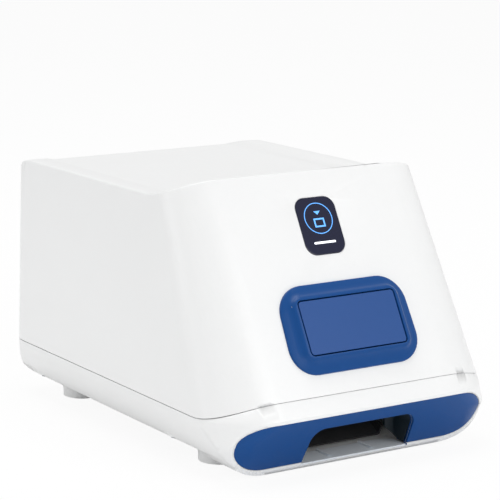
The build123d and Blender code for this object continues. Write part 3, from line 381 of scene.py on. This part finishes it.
@dataclass(frozen=True)
class Metal:
    """Machined or drawn metal with fine lines in one direction."""

    name: str
    colour: Colour
    axis: Axis = Axis.ALONG_X
    roughness: float = 0.3
    line: float = 0.15
    LINE_SCALE: ClassVar[float] = 3200.0
    LINE_DEPTH: ClassVar[float] = 0.00003
    SHADE_SHARE: ClassVar[float] = 0.82
    DUST: ClassVar[float] = 0.06
    BAND: ClassVar[float] = 0.08

    def build(self, groups: EffectGroups) -> bpy.types.Material:
        """Make the material.

        Args:
            groups: Shared effects.

        Returns:
            The material.
        """
        surface = Surface(self.name, groups)
        graph, shader = surface.graph, surface.shader
        place = graph.add("TexCoord")
        turn = graph.add("Mapping")
        turn.inputs["Scale"].default_value = self.axis.value
        lines = graph.add("TexNoise", Scale=self.LINE_SCALE, Detail=4.0, Roughness=0.7)
        graph.join(place.outputs["Object"], turn.inputs["Vector"])
        graph.join(turn.outputs["Vector"], lines.inputs["Vector"])
        shade = tuple(value * self.SHADE_SHARE for value in self.colour)
        tone = graph.blend(lines.outputs["Fac"], self.colour, shade)
        dust = surface.effect(groups.dust, Amount=self.DUST)
        graph.join(tone, dust.inputs["Colour"])
        graph.join(dust.outputs["Colour"], shader.inputs["Base Color"])
        shader.inputs["Metallic"].default_value = 1.0
        graph.join(
            graph.spread(
                lines.outputs["Fac"], self.roughness - self.BAND, self.roughness + self.BAND
            ),
            shader.inputs["Roughness"],
        )
        surface.relief(lines.outputs["Fac"], self.line, self.LINE_DEPTH)
        return surface.material


@dataclass(frozen=True)
class Glass:
    """Clear or dark glass with faint wipe marks."""

    name: str
    colour: Colour
    clear: float = 1.0
    roughness: float = 0.03
    SHADE_SHARE: ClassVar[float] = 0.85
    WIPE_SCALE: ClassVar[float] = 60.0
    BAND: ClassVar[float] = 0.05
    INDEX: ClassVar[float] = 1.5

    def build(self, groups: EffectGroups) -> bpy.types.Material:
        """Make the material.

        Args:
            groups: Shared effects.

        Returns:
            The material.
        """
        surface = Surface(self.name, groups)
        graph, shader = surface.graph, surface.shader
        shade = tuple(value * self.SHADE_SHARE for value in self.colour)
        drift = surface.effect(
            groups.drift, Colour=self.colour, Shade=shade, Scale=self.WIPE_SCALE
        )
        graph.join(drift.outputs["Colour"], shader.inputs["Base Color"])
        shader.inputs["Transmission Weight"].default_value = self.clear
        shader.inputs["IOR"].default_value = self.INDEX
        graph.join(
            graph.spread(drift.outputs["Mask"], self.roughness, self.roughness + self.BAND),
            shader.inputs["Roughness"],
        )
        return surface.material


@dataclass(frozen=True)
class Lit:
    """Backlit print that glows a little unevenly over its lamps."""

    name: str
    colour: Colour
    strength: float = 1.0
    lamp_scale: float = 260.0
    SHADE_SHARE: ClassVar[float] = 0.72
    ROUGHNESS: ClassVar[float] = 0.3

    def build(self, groups: EffectGroups) -> bpy.types.Material:
        """Make the material.

        Args:
            groups: Shared effects.

        Returns:
            The material.
        """
        surface = Surface(self.name, groups)
        graph, shader = surface.graph, surface.shader
        shade = tuple(value * self.SHADE_SHARE for value in self.colour)
        drift = surface.effect(
            groups.drift, Colour=self.colour, Shade=shade, Scale=self.lamp_scale
        )
        graph.join(drift.outputs["Colour"], shader.inputs["Base Color"])
        graph.join(drift.outputs["Colour"], shader.inputs["Emission Color"])
        shader.inputs["Emission Strength"].default_value = self.strength
        shader.inputs["Roughness"].default_value = self.ROUGHNESS
        return surface.material


@dataclass(frozen=True)
class Board:
    """Circuit board: green lacquer over copper tracks, with pads."""

    name: str
    colour: Colour
    track: Colour
    TRACK_SCALE: ClassVar[float] = 160.0
    TRACK_GAP: ClassVar[float] = 0.03
    TRACK_OFFSET: ClassVar[float] = 0.37
    PAD_SCALE: ClassVar[float] = 420.0
    PAD_SIZE: ClassVar[float] = 0.16
    PAD_COLOUR: ClassVar[Colour] = (0.75, 0.72, 0.66)
    PAD_METAL: ClassVar[float] = 0.8
    ROUGHNESS: ClassVar[tuple[float, float]] = (0.35, 0.28)
    RELIEF: ClassVar[float] = 0.25
    RELIEF_DEPTH: ClassVar[float] = 0.00004

    def build(self, groups: EffectGroups) -> bpy.types.Material:
        """Make the material.

        Args:
            groups: Shared effects.

        Returns:
            The material.
        """
        surface = Surface(self.name, groups)
        graph, shader = surface.graph, surface.shader
        place = graph.add("TexCoord")
        tracks = graph.add("TexBrick", Scale=self.TRACK_SCALE, Mortar_Size=self.TRACK_GAP)
        tracks.offset = self.TRACK_OFFSET
        pads = graph.add("TexVoronoi", Scale=self.PAD_SCALE)
        graph.join(place.outputs["Object"], tracks.inputs["Vector"])
        graph.join(place.outputs["Object"], pads.inputs["Vector"])
        dots = graph.maths("LESS_THAN", pads.outputs["Distance"], self.PAD_SIZE)
        lines = graph.blend(tracks.outputs["Fac"], self.colour, self.track)
        graph.join(graph.blend(dots, lines, self.PAD_COLOUR), shader.inputs["Base Color"])
        graph.join(graph.maths("MULTIPLY", dots, self.PAD_METAL), shader.inputs["Metallic"])
        rough = graph.spread(tracks.outputs["Fac"], *self.ROUGHNESS)
        graph.join(rough, shader.inputs["Roughness"])
        surface.relief(tracks.outputs["Fac"], self.RELIEF, self.RELIEF_DEPTH)
        return surface.material


WHITE = (0.86, 0.865, 0.865)
PANEL_BLUE = (0.001, 0.061, 0.245)
FLAP_BLUE = (0.011, 0.073, 0.277)
WINDOW = (0.006, 0.008, 0.035)
CLEAR = (0.96, 0.98, 1.0)
ALL_FINISHES = (
    Moulded("white_plastic", WHITE, roughness=0.33, grain=0.05, drift=0.01, wear=0.0),
    Moulded("blue_plastic", PANEL_BLUE, 0.34, 0.05, dust=0.02, wear=0.06, specular=0.25),
    Moulded("flap_plastic", FLAP_BLUE, 0.38, 0.06, dust=0.02, wear=0.06, specular=0.3),
    # Dark teal lining whose colour was taken from the shaded recess, so it is partly painted
    # shade.
    Moulded("hood_plastic", linear(18, 36, 46), roughness=0.5, grain=0.15),
    # White tray made paler and bluer than the shells: painted light standing in for the light that
    # falls on its floor.
    Moulded("tray_plastic", linear(242, 248, 254), roughness=0.35, grain=0.05, drift=0.01),
    Glass("window_black", WINDOW, clear=0.0, roughness=0.05),
    Lit("lit_blue", linear(96, 170, 250), strength=0.9),
    Lit("lit_white", linear(246, 250, 255), strength=1.0),
    Moulded("pad_rubber", linear(44, 44, 46), roughness=0.8, grain=0.5, grain_scale=900.0),
    Moulded("roller_rubber", linear(56, 56, 58), roughness=0.7, grain=0.4, grain_scale=1100.0),
    Moulded("belt_rubber", linear(30, 30, 32), roughness=0.75, grain=0.5, grain_scale=800.0),
    Metal("steel", linear(196, 198, 200), Axis.ALONG_X, 0.34),
    Metal("rod_chrome", linear(222, 224, 228), Axis.ALONG_Y, 0.14, 0.05),
    Metal("brass", linear(206, 172, 96), Axis.ALONG_Y, 0.28),
    Metal("aluminium", linear(204, 206, 208), Axis.ALONG_Z, 0.36),
    Metal("black_metal", linear(52, 53, 56), Axis.ALONG_Z, 0.42),
    Moulded("black_plastic", linear(38, 39, 42), roughness=0.48, grain=0.25),
    Moulded("panel_plastic", linear(72, 76, 82), roughness=0.5, grain=0.3),
    Board("board_green", linear(22, 84, 52), linear(48, 120, 74)),
    Glass("clear_glass", CLEAR),
    Metal("mirror", linear(238, 240, 242), Axis.ALONG_X, 0.1, 0.0),
)
FINISHES = {finish.name: finish for finish in ALL_FINISHES}


class Paints:
    """All finishes, made once and handed out by slot."""

    def __init__(self) -> None:
        """Build every finish."""
        groups = EffectGroups()
        self.made = {slot: finish.build(groups) for slot, finish in FINISHES.items()}

    def put_on(self, piece: bpy.types.Object, slot: str) -> None:
        """Give a piece one finish.

        Args:
            piece: Mesh object.
            slot: Record slot of the finish.
        """
        if not piece.material_slots:
            piece.data.materials.append(self.made[slot])
        for place in piece.material_slots:
            place.material = self.made[slot]


@dataclass
class SubAssembly:
    """Shared ways to make, dress and report the pieces of one group.

    The groups keep their sizes in millimetres, their angles in degrees and their shares
    between 0 and 1. The meshes, and the two distances below, are in metres.
    """

    paints: Paints
    body: str = "housing"
    MERGE: ClassVar[float] = 2e-6
    COLLAPSE: ClassVar[float] = 1e-6
    FLAT: ClassVar[float] = 0.04

    @classmethod
    def copy_of(cls, node: str) -> bmesh.types.BMesh:
        """Copy a CAD node with its triangles merged into clean faces.

        Args:
            node: CAD node name.

        Returns:
            The merged mesh.
        """
        mesh = bmesh.new()
        mesh.from_mesh(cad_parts[node].data)
        bmesh.ops.remove_doubles(mesh, verts=mesh.verts, dist=cls.MERGE)
        bmesh.ops.dissolve_degenerate(mesh, edges=mesh.edges, dist=cls.COLLAPSE)
        return mesh

    @classmethod
    def soften(
        cls,
        mesh: bmesh.types.BMesh,
        width: float,
        where: Optional[Callable[[Vector], bool]] = None,
        segments: int = 2,
        sharpness: float = 28.0,
        merge_flat: bool = True,
    ) -> None:
        """Round the sharp edges of a mesh.

        Args:
            mesh: Mesh to change.
            width: Bevel width in metres.
            where: Test of an edge's middle, or None for every edge.
            segments: Bevel segments.
            sharpness: Smallest turn of a sharp edge in degrees.
            merge_flat: Whether flat triangles are first joined into larger faces.
        """
        if merge_flat:
            flat = radians(cls.FLAT)
            bmesh.ops.dissolve_limit(mesh, angle_limit=flat, verts=mesh.verts, edges=mesh.edges)
        edges = [
            edge
            for edge in mesh.edges
            if len(edge.link_faces) == 2
            and edge.calc_face_angle(0.0) > radians(sharpness)
            and (where is None or where((edge.verts[0].co + edge.verts[1].co) / 2))
        ]
        bmesh.ops.bevel(
            mesh,
            geom=edges,
            offset=width,
            offset_type="OFFSET",
            affect="EDGES",
            segments=segments,
            profile=0.5,
            clamp_overlap=False,
            material=-1,
        )

    def piece(
        self,
        name: str,
        mesh: bmesh.types.BMesh,
        slot: str,
        replaced: tuple[str, ...],
        body: Optional[str] = None,
        smooth: float = 32.0,
    ) -> bpy.types.Object:
        """Turn a finished mesh into a dressed piece that rides on its body.

        Args:
            name: Piece name.
            mesh: Finished mesh in the frame's place.
            slot: Record slot of its finish.
            replaced: CAD nodes that it stands for.
            body: CAD body, or None for the group's own.
            smooth: Largest angle that is shaded smooth, in degrees.

        Returns:
            The new object.
        """
        data = bpy.data.meshes.new(name)
        mesh.to_mesh(data)
        mesh.free()
        data.polygons.foreach_set("use_smooth", [True] * len(data.polygons))
        data.set_sharp_from_angle(angle=radians(smooth))
        made = bpy.data.objects.new(name, data)
        bpy.context.scene.collection.objects.link(made)
        even = made.modifiers.new("even_faces", "WEIGHTED_NORMAL")
        even.keep_sharp = True
        even.mode = "FACE_AREA"
        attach(made, body or self.body)
        if replaced:
            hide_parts(*replaced)
        self.paints.put_on(made, slot)
        log.info("%s: %d faces, finish %s", name, len(data.polygons), slot)
        return made

    def softened(
        self,
        node: str,
        slot: str,
        width: float = 0.2,
        body: Optional[str] = None,
        where: Optional[Callable[[Vector], bool]] = None,
    ) -> bpy.types.Object:
        """Replace a CAD node by a copy with rounded edges.

        Args:
            node: CAD node name.
            slot: Record slot of its finish.
            width: Bevel width in millimetres.
            body: CAD body, or None for the group's own.
            where: Test of an edge's middle, or None for every edge.

        Returns:
            The new object.
        """
        mesh = self.copy_of(node)
        self.soften(mesh, width * MM, where)
        return self.piece(node + "_finished", mesh, slot, (node,), body)

    def dress(self, slots: dict[str, str]) -> None:
        """Give CAD nodes that stay their finishes.

        Args:
            slots: Node names with record slots.
        """
        for node, slot in slots.items():
            self.paints.put_on(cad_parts[node], slot)
            log.info("%s: kept, finish %s", node, slot)


def lathe(
    mesh: bmesh.types.BMesh, profile: list[tuple[float, float]], centre: Vector, steps: int = 48
) -> None:
    """Turn an open profile round an upright axis through a point.

    Args:
        mesh: Mesh that takes the form.
        profile: Radius and height pairs in metres, from the axis to the axis.
        centre: Point on the axis at height 0.
        steps: Steps of a full turn.
    """
    points = [mesh.verts.new(centre + Vector((radius, 0, height))) for radius, height in profile]
    edges = [mesh.edges.new(pair) for pair in zip(points, points[1:])]
    bmesh.ops.spin(
        mesh,
        geom=points + edges,
        cent=centre,
        axis=(0, 0, 1),
        angle=2 * pi,
        steps=steps,
        use_merge=True,
        use_duplicate=False,
    )
    bmesh.ops.remove_doubles(mesh, verts=mesh.verts, dist=1e-6)
    bmesh.ops.recalc_face_normals(mesh, faces=mesh.faces)


@dataclass
class Shells(SubAssembly):
    """White cover and base with the rubber foot pads."""

    edge_round: float = 0.9
    round_segments: int = 4
    rim_turn: float = 38.0
    nose_turn: float = 40.0
    pad_radius: float = 8.0
    pad_height: float = 1.6
    pad_groove: float = 0.35
    groove_shares: tuple[float, float, float, float] = (0.45, 0.48, 0.56, 0.59)
    pad_chamfer: float = 0.3
    foot_x: float = 50.3
    foot_front_y: float = -60.5
    foot_back_y: float = 70.5
    rail_low_z: float = 116.6
    rail_inner_x: float = 58.5
    front_rim_z: float = 120.5
    back_rim_y: float = 90.0
    nose_edge_z: float = 27.4
    nose_edge_slack: float = 0.2
    nose_back_y: float = -85.0
    exit_half: float = 29.6
    exit_low_z: float = 2.6
    exit_high_z: float = 20.8
    exit_back_y: float = -88.0
    side_on: float = 0.2

    def build(self) -> None:
        """Make the cover, the base and the pads."""
        self.cover()
        self.base()
        self.pads()

    def cover(self) -> None:
        """Cover with softened rim, rails and openings."""
        mesh = self.copy_of("upper_shell")
        width, segments = self.edge_round * MM, self.round_segments
        self.soften(mesh, width, self._on_rim, segments, self.rim_turn, merge_flat=False)
        self.piece("upper_shell_finished", mesh, "white_plastic", ("upper_shell",))

    def _on_rim(self, point: Vector) -> bool:
        """Whether a point is on the outer rim or rails."""
        rail = abs(point.x) > self.rail_inner_x * MM
        front, back = point.z > self.front_rim_z * MM, point.y > self.back_rim_y * MM
        return point.z > self.rail_low_z * MM and (rail or front or back)

    def base(self) -> None:
        """Base with a softened nose edge and a blue lining in the exit."""
        mesh = self.copy_of("base_shell")
        width, segments = self.edge_round * MM, self.round_segments
        self.soften(mesh, width, self._on_base_edge, segments, self.nose_turn, merge_flat=False)
        for face in mesh.faces:
            face.material_index = int(self._in_jamb(face))
        base = self.piece("base_shell_finished", mesh, "white_plastic", ("base_shell",))
        base.data.materials.append(self.paints.made["blue_plastic"])

    def _on_base_edge(self, point: Vector) -> bool:
        """Whether a point is on the nose edge."""
        level = abs(point.z - self.nose_edge_z * MM) < self.nose_edge_slack * MM
        return level and point.y < self.nose_back_y * MM

    def _in_jamb(self, face: bmesh.types.BMFace) -> bool:
        """Whether a face is the cut edge of the exit opening, which the blue panel lines."""
        middle = face.calc_center_median()
        across = abs(middle.x) < self.exit_half * MM
        level = self.exit_low_z * MM < middle.z < self.exit_high_z * MM
        ahead = middle.y < self.exit_back_y * MM
        return across and level and ahead and abs(face.normal.y) < self.side_on

    def pads(self) -> None:
        """Four rubber pads with a ring groove and a soft rim."""
        radius, height, groove = self.pad_radius * MM, self.pad_height * MM, self.pad_groove * MM
        inner, floor_in, floor_out, outer = (share * radius for share in self.groove_shares)
        profile = [
            (0.0, 0.0),
            (inner, 0.0),
            (floor_in, groove),
            (floor_out, groove),
            (outer, 0.0),
            (radius - groove, 0.0),
            (radius - self.pad_chamfer * groove, self.pad_chamfer * groove),
            (radius, groove),
            (radius, height),
            (0.0, height),
        ]
        mesh = bmesh.new()
        for x in (-self.foot_x, self.foot_x):
            for y in (self.foot_front_y, self.foot_back_y):
                lathe(mesh, profile, Vector((x * MM, y * MM, 0.0)))
        self.piece("foot_pads_finished", mesh, "pad_rubber", ("foot_pads",))


@dataclass
class InsertDoor(SubAssembly):
    """Blue frame and sprung flap of the insertion opening."""

    plane_y: float = -88.246
    plane_z: float = 61.239
    slope: float = 61.0
    outer: tuple[float, float, float] = (68.0, 41.0, 13.0)
    opening: tuple[float, float, float] = (52.0, 25.6, 2.1)
    taper: float = 1.43
    corner_segments: int = 10
    section: tuple[tuple[float, float], ...] = (
        (0.0, -0.05),
        (0.02, 0.75),
        (0.07, 1.15),
        (0.35, 1.75),
        (0.55, 2.3),
        (0.66, 2.95),
        (0.74, 3.65),
        (0.82, 4.15),
        (0.9, 4.33),
        (0.965, 4.38),
        (0.99, 4.25),
        (1.0, 4.0),
        (1.0, -4.0),
        (0.83, -4.1),
        (0.83, 0.1),
    )
    spring_radius: float = 1.18
    spring_wire: float = 0.16
    spring_turns: int = 7
    turn_steps: int = 24
    wire_segments: int = 8

    def build(self) -> None:
        """Make the frame, the flap and the return spring."""
        self.bezel()
        self.softened("insert_flap", "flap_plastic", 0.3, "insert_door")
        self.spring()
        self.dress({"flap_pin": "steel"})

    def loop(
        self, mesh: bmesh.types.BMesh, share: float, height: float
    ) -> list[bmesh.types.BMEdge]:
        """Draw one rounded outline between the frame's rim and its opening.

        Args:
            mesh: Mesh that takes the outline.
            share: 0 at the outer rim, 1 at the opening.
            height: Height over the slanted face in millimetres.

        Returns:
            The outline's edges.
        """
        width, tall, radius = (o + share * (i - o) for o, i in zip(self.outer, self.opening))
        lean = (1 - share) * self.taper
        sheet = bmesh.ops.create_grid(mesh, x_segments=1, y_segments=1, size=0.5)["verts"]
        for corner in sheet:
            side = 1 if corner.co.x > 0 else -1
            over = lean if corner.co.y < 0 else -lean
            corner.co = Vector((side * (width + over) / 2, corner.co.y * tall, height)) * MM
        bmesh.ops.bevel(
            mesh,
            geom=sheet,
            offset=radius * MM,
            offset_type="OFFSET",
            affect="VERTICES",
            segments=self.corner_segments,
            profile=0.5,
            clamp_overlap=False,
            material=-1,
        )
        faces = mesh.faces[:]
        inner = [edge for edge in mesh.edges if len(edge.link_faces) == 2]
        edges = [edge for edge in mesh.edges if len(edge.link_faces) == 1]
        bmesh.ops.delete(mesh, geom=faces, context="FACES_ONLY")
        bmesh.ops.delete(mesh, geom=inner, context="EDGES")
        return edges

    def bezel(self) -> None:
        """Frame that swells from the slanted face to a soft ring round the flap."""
        mesh = bmesh.new()
        loops = [self.loop(mesh, share, height) for share, height in self.section]
        for near, far in zip(loops, loops[1:] + loops[:1]):
            bmesh.ops.bridge_loops(mesh, edges=near + far)
        place = Matrix.Translation((0, self.plane_y * MM, self.plane_z * MM))
        bmesh.ops.transform(
            mesh, matrix=place @ Matrix.Rotation(radians(self.slope), 4, "X"), verts=mesh.verts
        )
        bmesh.ops.recalc_face_normals(mesh, faces=mesh.faces)
        self.piece("flap_bezel_finished", mesh, "blue_plastic", ("flap_bezel",))

    def spring(self) -> None:
        """Coil of round wire about the hinge pin."""
        low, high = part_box("flap_spring")
        middle = (low + high) / 2
        length = high.x - low.x
        wire, radius = self.spring_wire * MM, self.spring_radius * MM
        mesh = bmesh.new()
        start = Matrix.Translation((low.x + wire, middle.y, middle.z + radius))
        start = start @ Matrix.Rotation(pi / 2, 4, "X")
        ring = bmesh.ops.create_circle(
            mesh, segments=self.wire_segments, radius=wire, cap_ends=True, matrix=start
        )
        geometry = ring["verts"] + mesh.edges[:] + mesh.faces[:]
        steps = self.spring_turns * self.turn_steps
        bmesh.ops.spin(
            mesh,
            geom=geometry,
            cent=middle,
            axis=(1, 0, 0),
            dvec=((length - 2 * wire) / steps, 0, 0),
            angle=2 * pi * self.spring_turns,
            steps=steps,
            use_merge=False,
            use_duplicate=False,
        )
        bmesh.ops.recalc_face_normals(mesh, faces=mesh.faces)
        self.piece("flap_spring_coil", mesh, "steel", ("flap_spring",))


@dataclass
class StatusDisplay(SubAssembly):
    """Dark window with its lit sign and bar, over the lamp board."""

    def build(self) -> None:
        """Make the window and dress the lit parts."""
        self.softened("status_window", "window_black", 0.3)
        self.dress(
            {
                "status_mark": "lit_blue",
                "status_bar": "lit_white",
                "status_board": "board_green",
            }
        )


@dataclass
class NoseTray(SubAssembly):
    """Blue nose panel, dark exit hood whose colour also paints the recess's shade, tray brightened
    as painted light, and the slope behind it.
    """

    rib_probe: float = 0.5
    rib_end: float = 0.2
    rib_run: float = 4.0
    tray_round: float = 0.12

    def build(self) -> None:
        """Make the pieces of the nose."""
        self.softened("nose_fascia", "blue_plastic", 0.15)
        # The hood's dark colour is partly painted shade in the recess.
        self.softened("exit_hood", "hood_plastic", 0.15)
        self.tray()
        self.dress({"exit_ramp": "black_plastic"})

    def tray(self) -> None:
        """Tray floor with the tops of its ribs drawn out to the front."""
        rib_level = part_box("receiving_tray")[1].z - self.rib_probe * MM
        mesh = self.copy_of("receiving_tray")
        tops = [vert for vert in mesh.verts if vert.co.z > rib_level]
        rib_front = min(vert.co.y for vert in tops)
        for vert in tops:
            if vert.co.y < rib_front + self.rib_end * MM:
                vert.co.y -= self.rib_run * MM
        self.soften(mesh, self.tray_round * MM)
        # The tray's pale finish is painted light.
        self.piece("receiving_tray_finished", mesh, "tray_plastic", ("receiving_tray",))


@dataclass
class FeedDrive(SubAssembly):
    """Rollers that draw a plate in, with their motor and belt."""

    def build(self) -> None:
        """Dress the feed parts."""
        self.softened("feed_roller", "roller_rubber", 0.25, "feed")
        self.softened("pinch_roller", "roller_rubber", 0.2, "pinch")
        self.softened("feed_motor", "black_metal", 0.4)
        self.dress(
            {
                "roller_bearings": "brass",
                "feed_chute": "black_plastic",
                "drive_pulley": "aluminium",
                "feed_belt": "belt_rubber",
                "side_frames": "steel",
            }
        )


@dataclass
class CarriageDrive(SubAssembly):
    """Rods, lead screw and the carriage with its tipping bed."""

    thread_pitch: float = 2.0
    thread_height: float = 0.28
    core_radius: float = 2.15
    core_segments: int = 32
    turn_steps: int = 20
    tooth: tuple[tuple[float, float], ...] = (
        (-0.1, -0.32),
        (1.0, -0.12),
        (1.0, 0.12),
        (-0.1, 0.32),
    )

    def build(self) -> None:
        """Make the screw thread and dress the drive."""
        self.screw()
        self.softened("plate_carriage", "black_plastic", 0.25, "carriage")
        self.softened("plate_bed", "aluminium", 0.2, "bed")
        self.softened("screw_motor", "black_metal", 0.4)
        self.dress(
            {
                "chassis_plate": "steel",
                "carriage_nut": "brass",
                "guide_rods": "rod_chrome",
                "front_block": "aluminium",
                "rear_block": "aluminium",
            }
        )

    def screw(self) -> None:
        """Lead screw with a raised helical thread on its core."""
        low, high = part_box("lead_screw")
        middle = (low + high) / 2
        length = high.y - low.y
        core, rise, pitch = self.core_radius * MM, self.thread_height * MM, self.thread_pitch * MM
        mesh = bmesh.new()
        lie = Matrix.Translation(middle) @ Matrix.Rotation(pi / 2, 4, "X")
        bmesh.ops.create_cone(
            mesh,
            cap_ends=True,
            segments=self.core_segments,
            radius1=core,
            radius2=core,
            depth=length,
            matrix=lie,
        )
        thread = bmesh.new()
        start = Vector((middle.x + core, low.y + pitch, middle.z))
        corners = [
            thread.verts.new(start + Vector((out * rise, run * pitch, 0)))
            for out, run in self.tooth
        ]
        face = thread.faces.new(corners)
        turns = int((length - 2 * pitch) / pitch)
        steps = turns * self.turn_steps
        bmesh.ops.spin(
            thread,
            geom=corners + list(face.edges) + [face],
            cent=middle,
            axis=(0, 1, 0),
            dvec=(0, pitch / self.turn_steps, 0),
            angle=2 * pi * turns,
            steps=steps,
            use_merge=False,
            use_duplicate=False,
        )
        bmesh.ops.recalc_face_normals(thread, faces=thread.faces)
        holder = bpy.data.meshes.new("thread_stock")
        thread.to_mesh(holder)
        thread.free()
        mesh.from_mesh(holder)
        bpy.data.meshes.remove(holder)
        self.piece("lead_screw_threaded", mesh, "rod_chrome", ("lead_screw",), "screw")


@dataclass
class ScanOptics(SubAssembly):
    """Laser, polygon, lens and mirror over the scan line, with the light detector."""

    def build(self) -> None:
        """Dress the optics."""
        self.softened("scan_lens", "clear_glass", 0.2)
        self.softened("polygon_motor", "black_metal", 0.3)
        self.dress(
            {
                "optics_bench": "aluminium",
                "polygon_mirror": "mirror",
                "laser_module": "aluminium",
                "fold_mirror": "mirror",
                "mirror_mounts": "black_metal",
                "photomultiplier": "black_metal",
                "tube_saddle": "black_plastic",
                "light_guide": "clear_glass",
                "eraser_lamp": "board_green",
            }
        )


@dataclass
class Electronics(SubAssembly):
    """Main board and its pillars."""

    def build(self) -> None:
        """Dress the electronics."""
        self.dress({"main_board": "board_green", "board_standoffs": "brass"})


@dataclass
class BackPanel(SubAssembly):
    """Dark panel on the back with inlet, socket and switch."""

    def build(self) -> None:
        """Make the panel parts."""
        self.softened("rear_panel", "panel_plastic", 0.2)
        self.softened("power_inlet", "black_plastic", 0.2)
        self.softened("data_port", "steel", 0.2)
        self.softened("switch_body", "black_plastic", 0.25)
        self.softened("power_rocker", "black_plastic", 0.3, "rocker")


@dataclass
class Fasteners(SubAssembly):
    """Screws of the shells and of the chassis."""

    def build(self) -> None:
        """Soften the screws that show and dress the rest."""
        self.softened("shell_screws", "steel", 0.2)
        self.dress({"chassis_screws": "steel"})


@dataclass
class Studio:
    """Pale floor, white surround, soft lamps and the camera, placed in metres."""

    eye: Place = (-0.508887, -0.811192, 0.269070)
    right: Place = (0.84514, -0.53455, 0.0)
    up: Place = (0.10344, 0.16353, 0.98110)
    back: Place = (-0.52445, -0.82917, 0.19350)
    aim: Place = (0.0, 0.0, 0.06)
    lens: float = 147.257
    sensor: float = 36.0
    nearest: float = 0.01
    surround: float = 0.6
    floor_share: float = 0.92
    floor_size: float = 6.0
    floor_roughness: float = 0.9
    tone_scale: float = 3.0
    floor_tones: tuple[Colour, Colour] = ((0.88, 0.88, 0.88), (0.9, 0.9, 0.9))
    lamps: tuple[tuple[str, Place, tuple[float, float], float], ...] = (
        ("key_lamp", (0.4, -1.3, 0.8), (0.9, 0.5), 6.0),
        ("side_lamp", (-1.3, 0.45, 0.6), (0.7, 0.9), 3.2),
        ("front_lamp", (-0.3, -1.4, 0.3), (0.5, 0.25), 1.2),
        ("top_lamp", (0.0, 0.25, 1.4), (1.1, 0.8), 8.2),
    )

    def build(self) -> None:
        """Set the whole studio."""
        self.world()
        self.floor()
        for name, place, size, power in self.lamps:
            self.lamp(name, place, size, power)
        self.camera()
        bpy.context.scene.view_settings.view_transform = "Standard"

    def world(self) -> None:
        """Even pale surround that the camera sees as white."""
        world = bpy.data.worlds.new("studio_surround")
        world.use_nodes = True
        bpy.context.scene.world = world
        graph = Graph(world.node_tree)
        ground = world.node_tree.nodes["Background"]
        rays = graph.add("LightPath")
        direct, through = rays.outputs["Is Camera Ray"], rays.outputs["Is Transmission Ray"]
        seen = graph.maths("MAXIMUM", direct, through)
        ground.inputs["Color"].default_value = (1.0, 1.0, 1.0, 1.0)
        graph.join(graph.spread(seen, self.surround, 1.0), ground.inputs["Strength"])

    def floor(self) -> None:
        """Wide plain floor that keeps a soft shadow."""
        mesh = bmesh.new()
        bmesh.ops.create_grid(mesh, x_segments=4, y_segments=4, size=self.floor_size)
        data = bpy.data.meshes.new("studio_floor")
        mesh.to_mesh(data)
        mesh.free()
        floor = bpy.data.objects.new("studio_floor", data)
        bpy.context.scene.collection.objects.link(floor)
        material = bpy.data.materials.new("studio_floor")
        material.use_nodes = True
        graph = Graph(material.node_tree)
        shader = material.node_tree.nodes["Principled BSDF"]
        shader.inputs["Roughness"].default_value = self.floor_roughness
        place = graph.add("TexCoord")
        tone = graph.add("TexNoise", Scale=self.tone_scale)
        graph.join(place.outputs["Object"], tone.inputs["Vector"])
        shade = graph.blend(tone.outputs["Fac"], *self.floor_tones)
        graph.join(shade, shader.inputs["Base Color"])
        glow = graph.add("Emission", Strength=1.0)
        rays = graph.add("LightPath")
        mix = graph.add("MixShader")
        seen = graph.maths("MULTIPLY", rays.outputs["Is Camera Ray"], self.floor_share)
        graph.join(seen, mix.inputs[0])
        graph.join(shader.outputs[0], mix.inputs[1])
        graph.join(glow.outputs[0], mix.inputs[2])
        leave = material.node_tree.nodes["Material Output"]
        graph.join(mix.outputs[0], leave.inputs["Surface"])
        data.materials.append(material)

    def lamp(self, name: str, place: Place, size: tuple[float, float], power: float) -> None:
        """Soft rectangular lamp that looks at the object.

        Args:
            name: Lamp name.
            place: Lamp centre in metres.
            size: Width and height in metres.
            power: Power in watts.
        """
        data = bpy.data.lights.new(name, "AREA")
        data.shape = "RECTANGLE"
        data.size, data.size_y = size
        data.energy = power
        lamp = bpy.data.objects.new(name, data)
        lamp.location = place
        look = Vector(self.aim) - Vector(place)
        lamp.rotation_euler = look.to_track_quat("-Z", "Y").to_euler()
        bpy.context.scene.collection.objects.link(lamp)

    def camera(self) -> None:
        """Camera at the photograph's viewing angle."""
        data = bpy.data.cameras.new("studio_camera")
        data.lens = self.lens
        data.sensor_width = self.sensor
        data.clip_start = self.nearest
        camera = bpy.data.objects.new("studio_camera", data)
        turn = Matrix((self.right, self.up, self.back)).transposed().to_4x4()
        camera.matrix_world = Matrix.Translation(self.eye) @ turn
        bpy.context.scene.collection.objects.link(camera)
        bpy.context.scene.camera = camera


def main() -> None:
    """Build the dressed scanner and its studio."""
    logging.basicConfig(level=logging.INFO, format="%(message)s")
    paints = Paints()
    groups = (
        Shells,
        InsertDoor,
        StatusDisplay,
        NoseTray,
        FeedDrive,
        CarriageDrive,
        ScanOptics,
        Electronics,
        BackPanel,
        Fasteners,
    )
    for group in groups:
        group(paints).build()
    Studio().build()


if __name__ == "__main__":
    main()
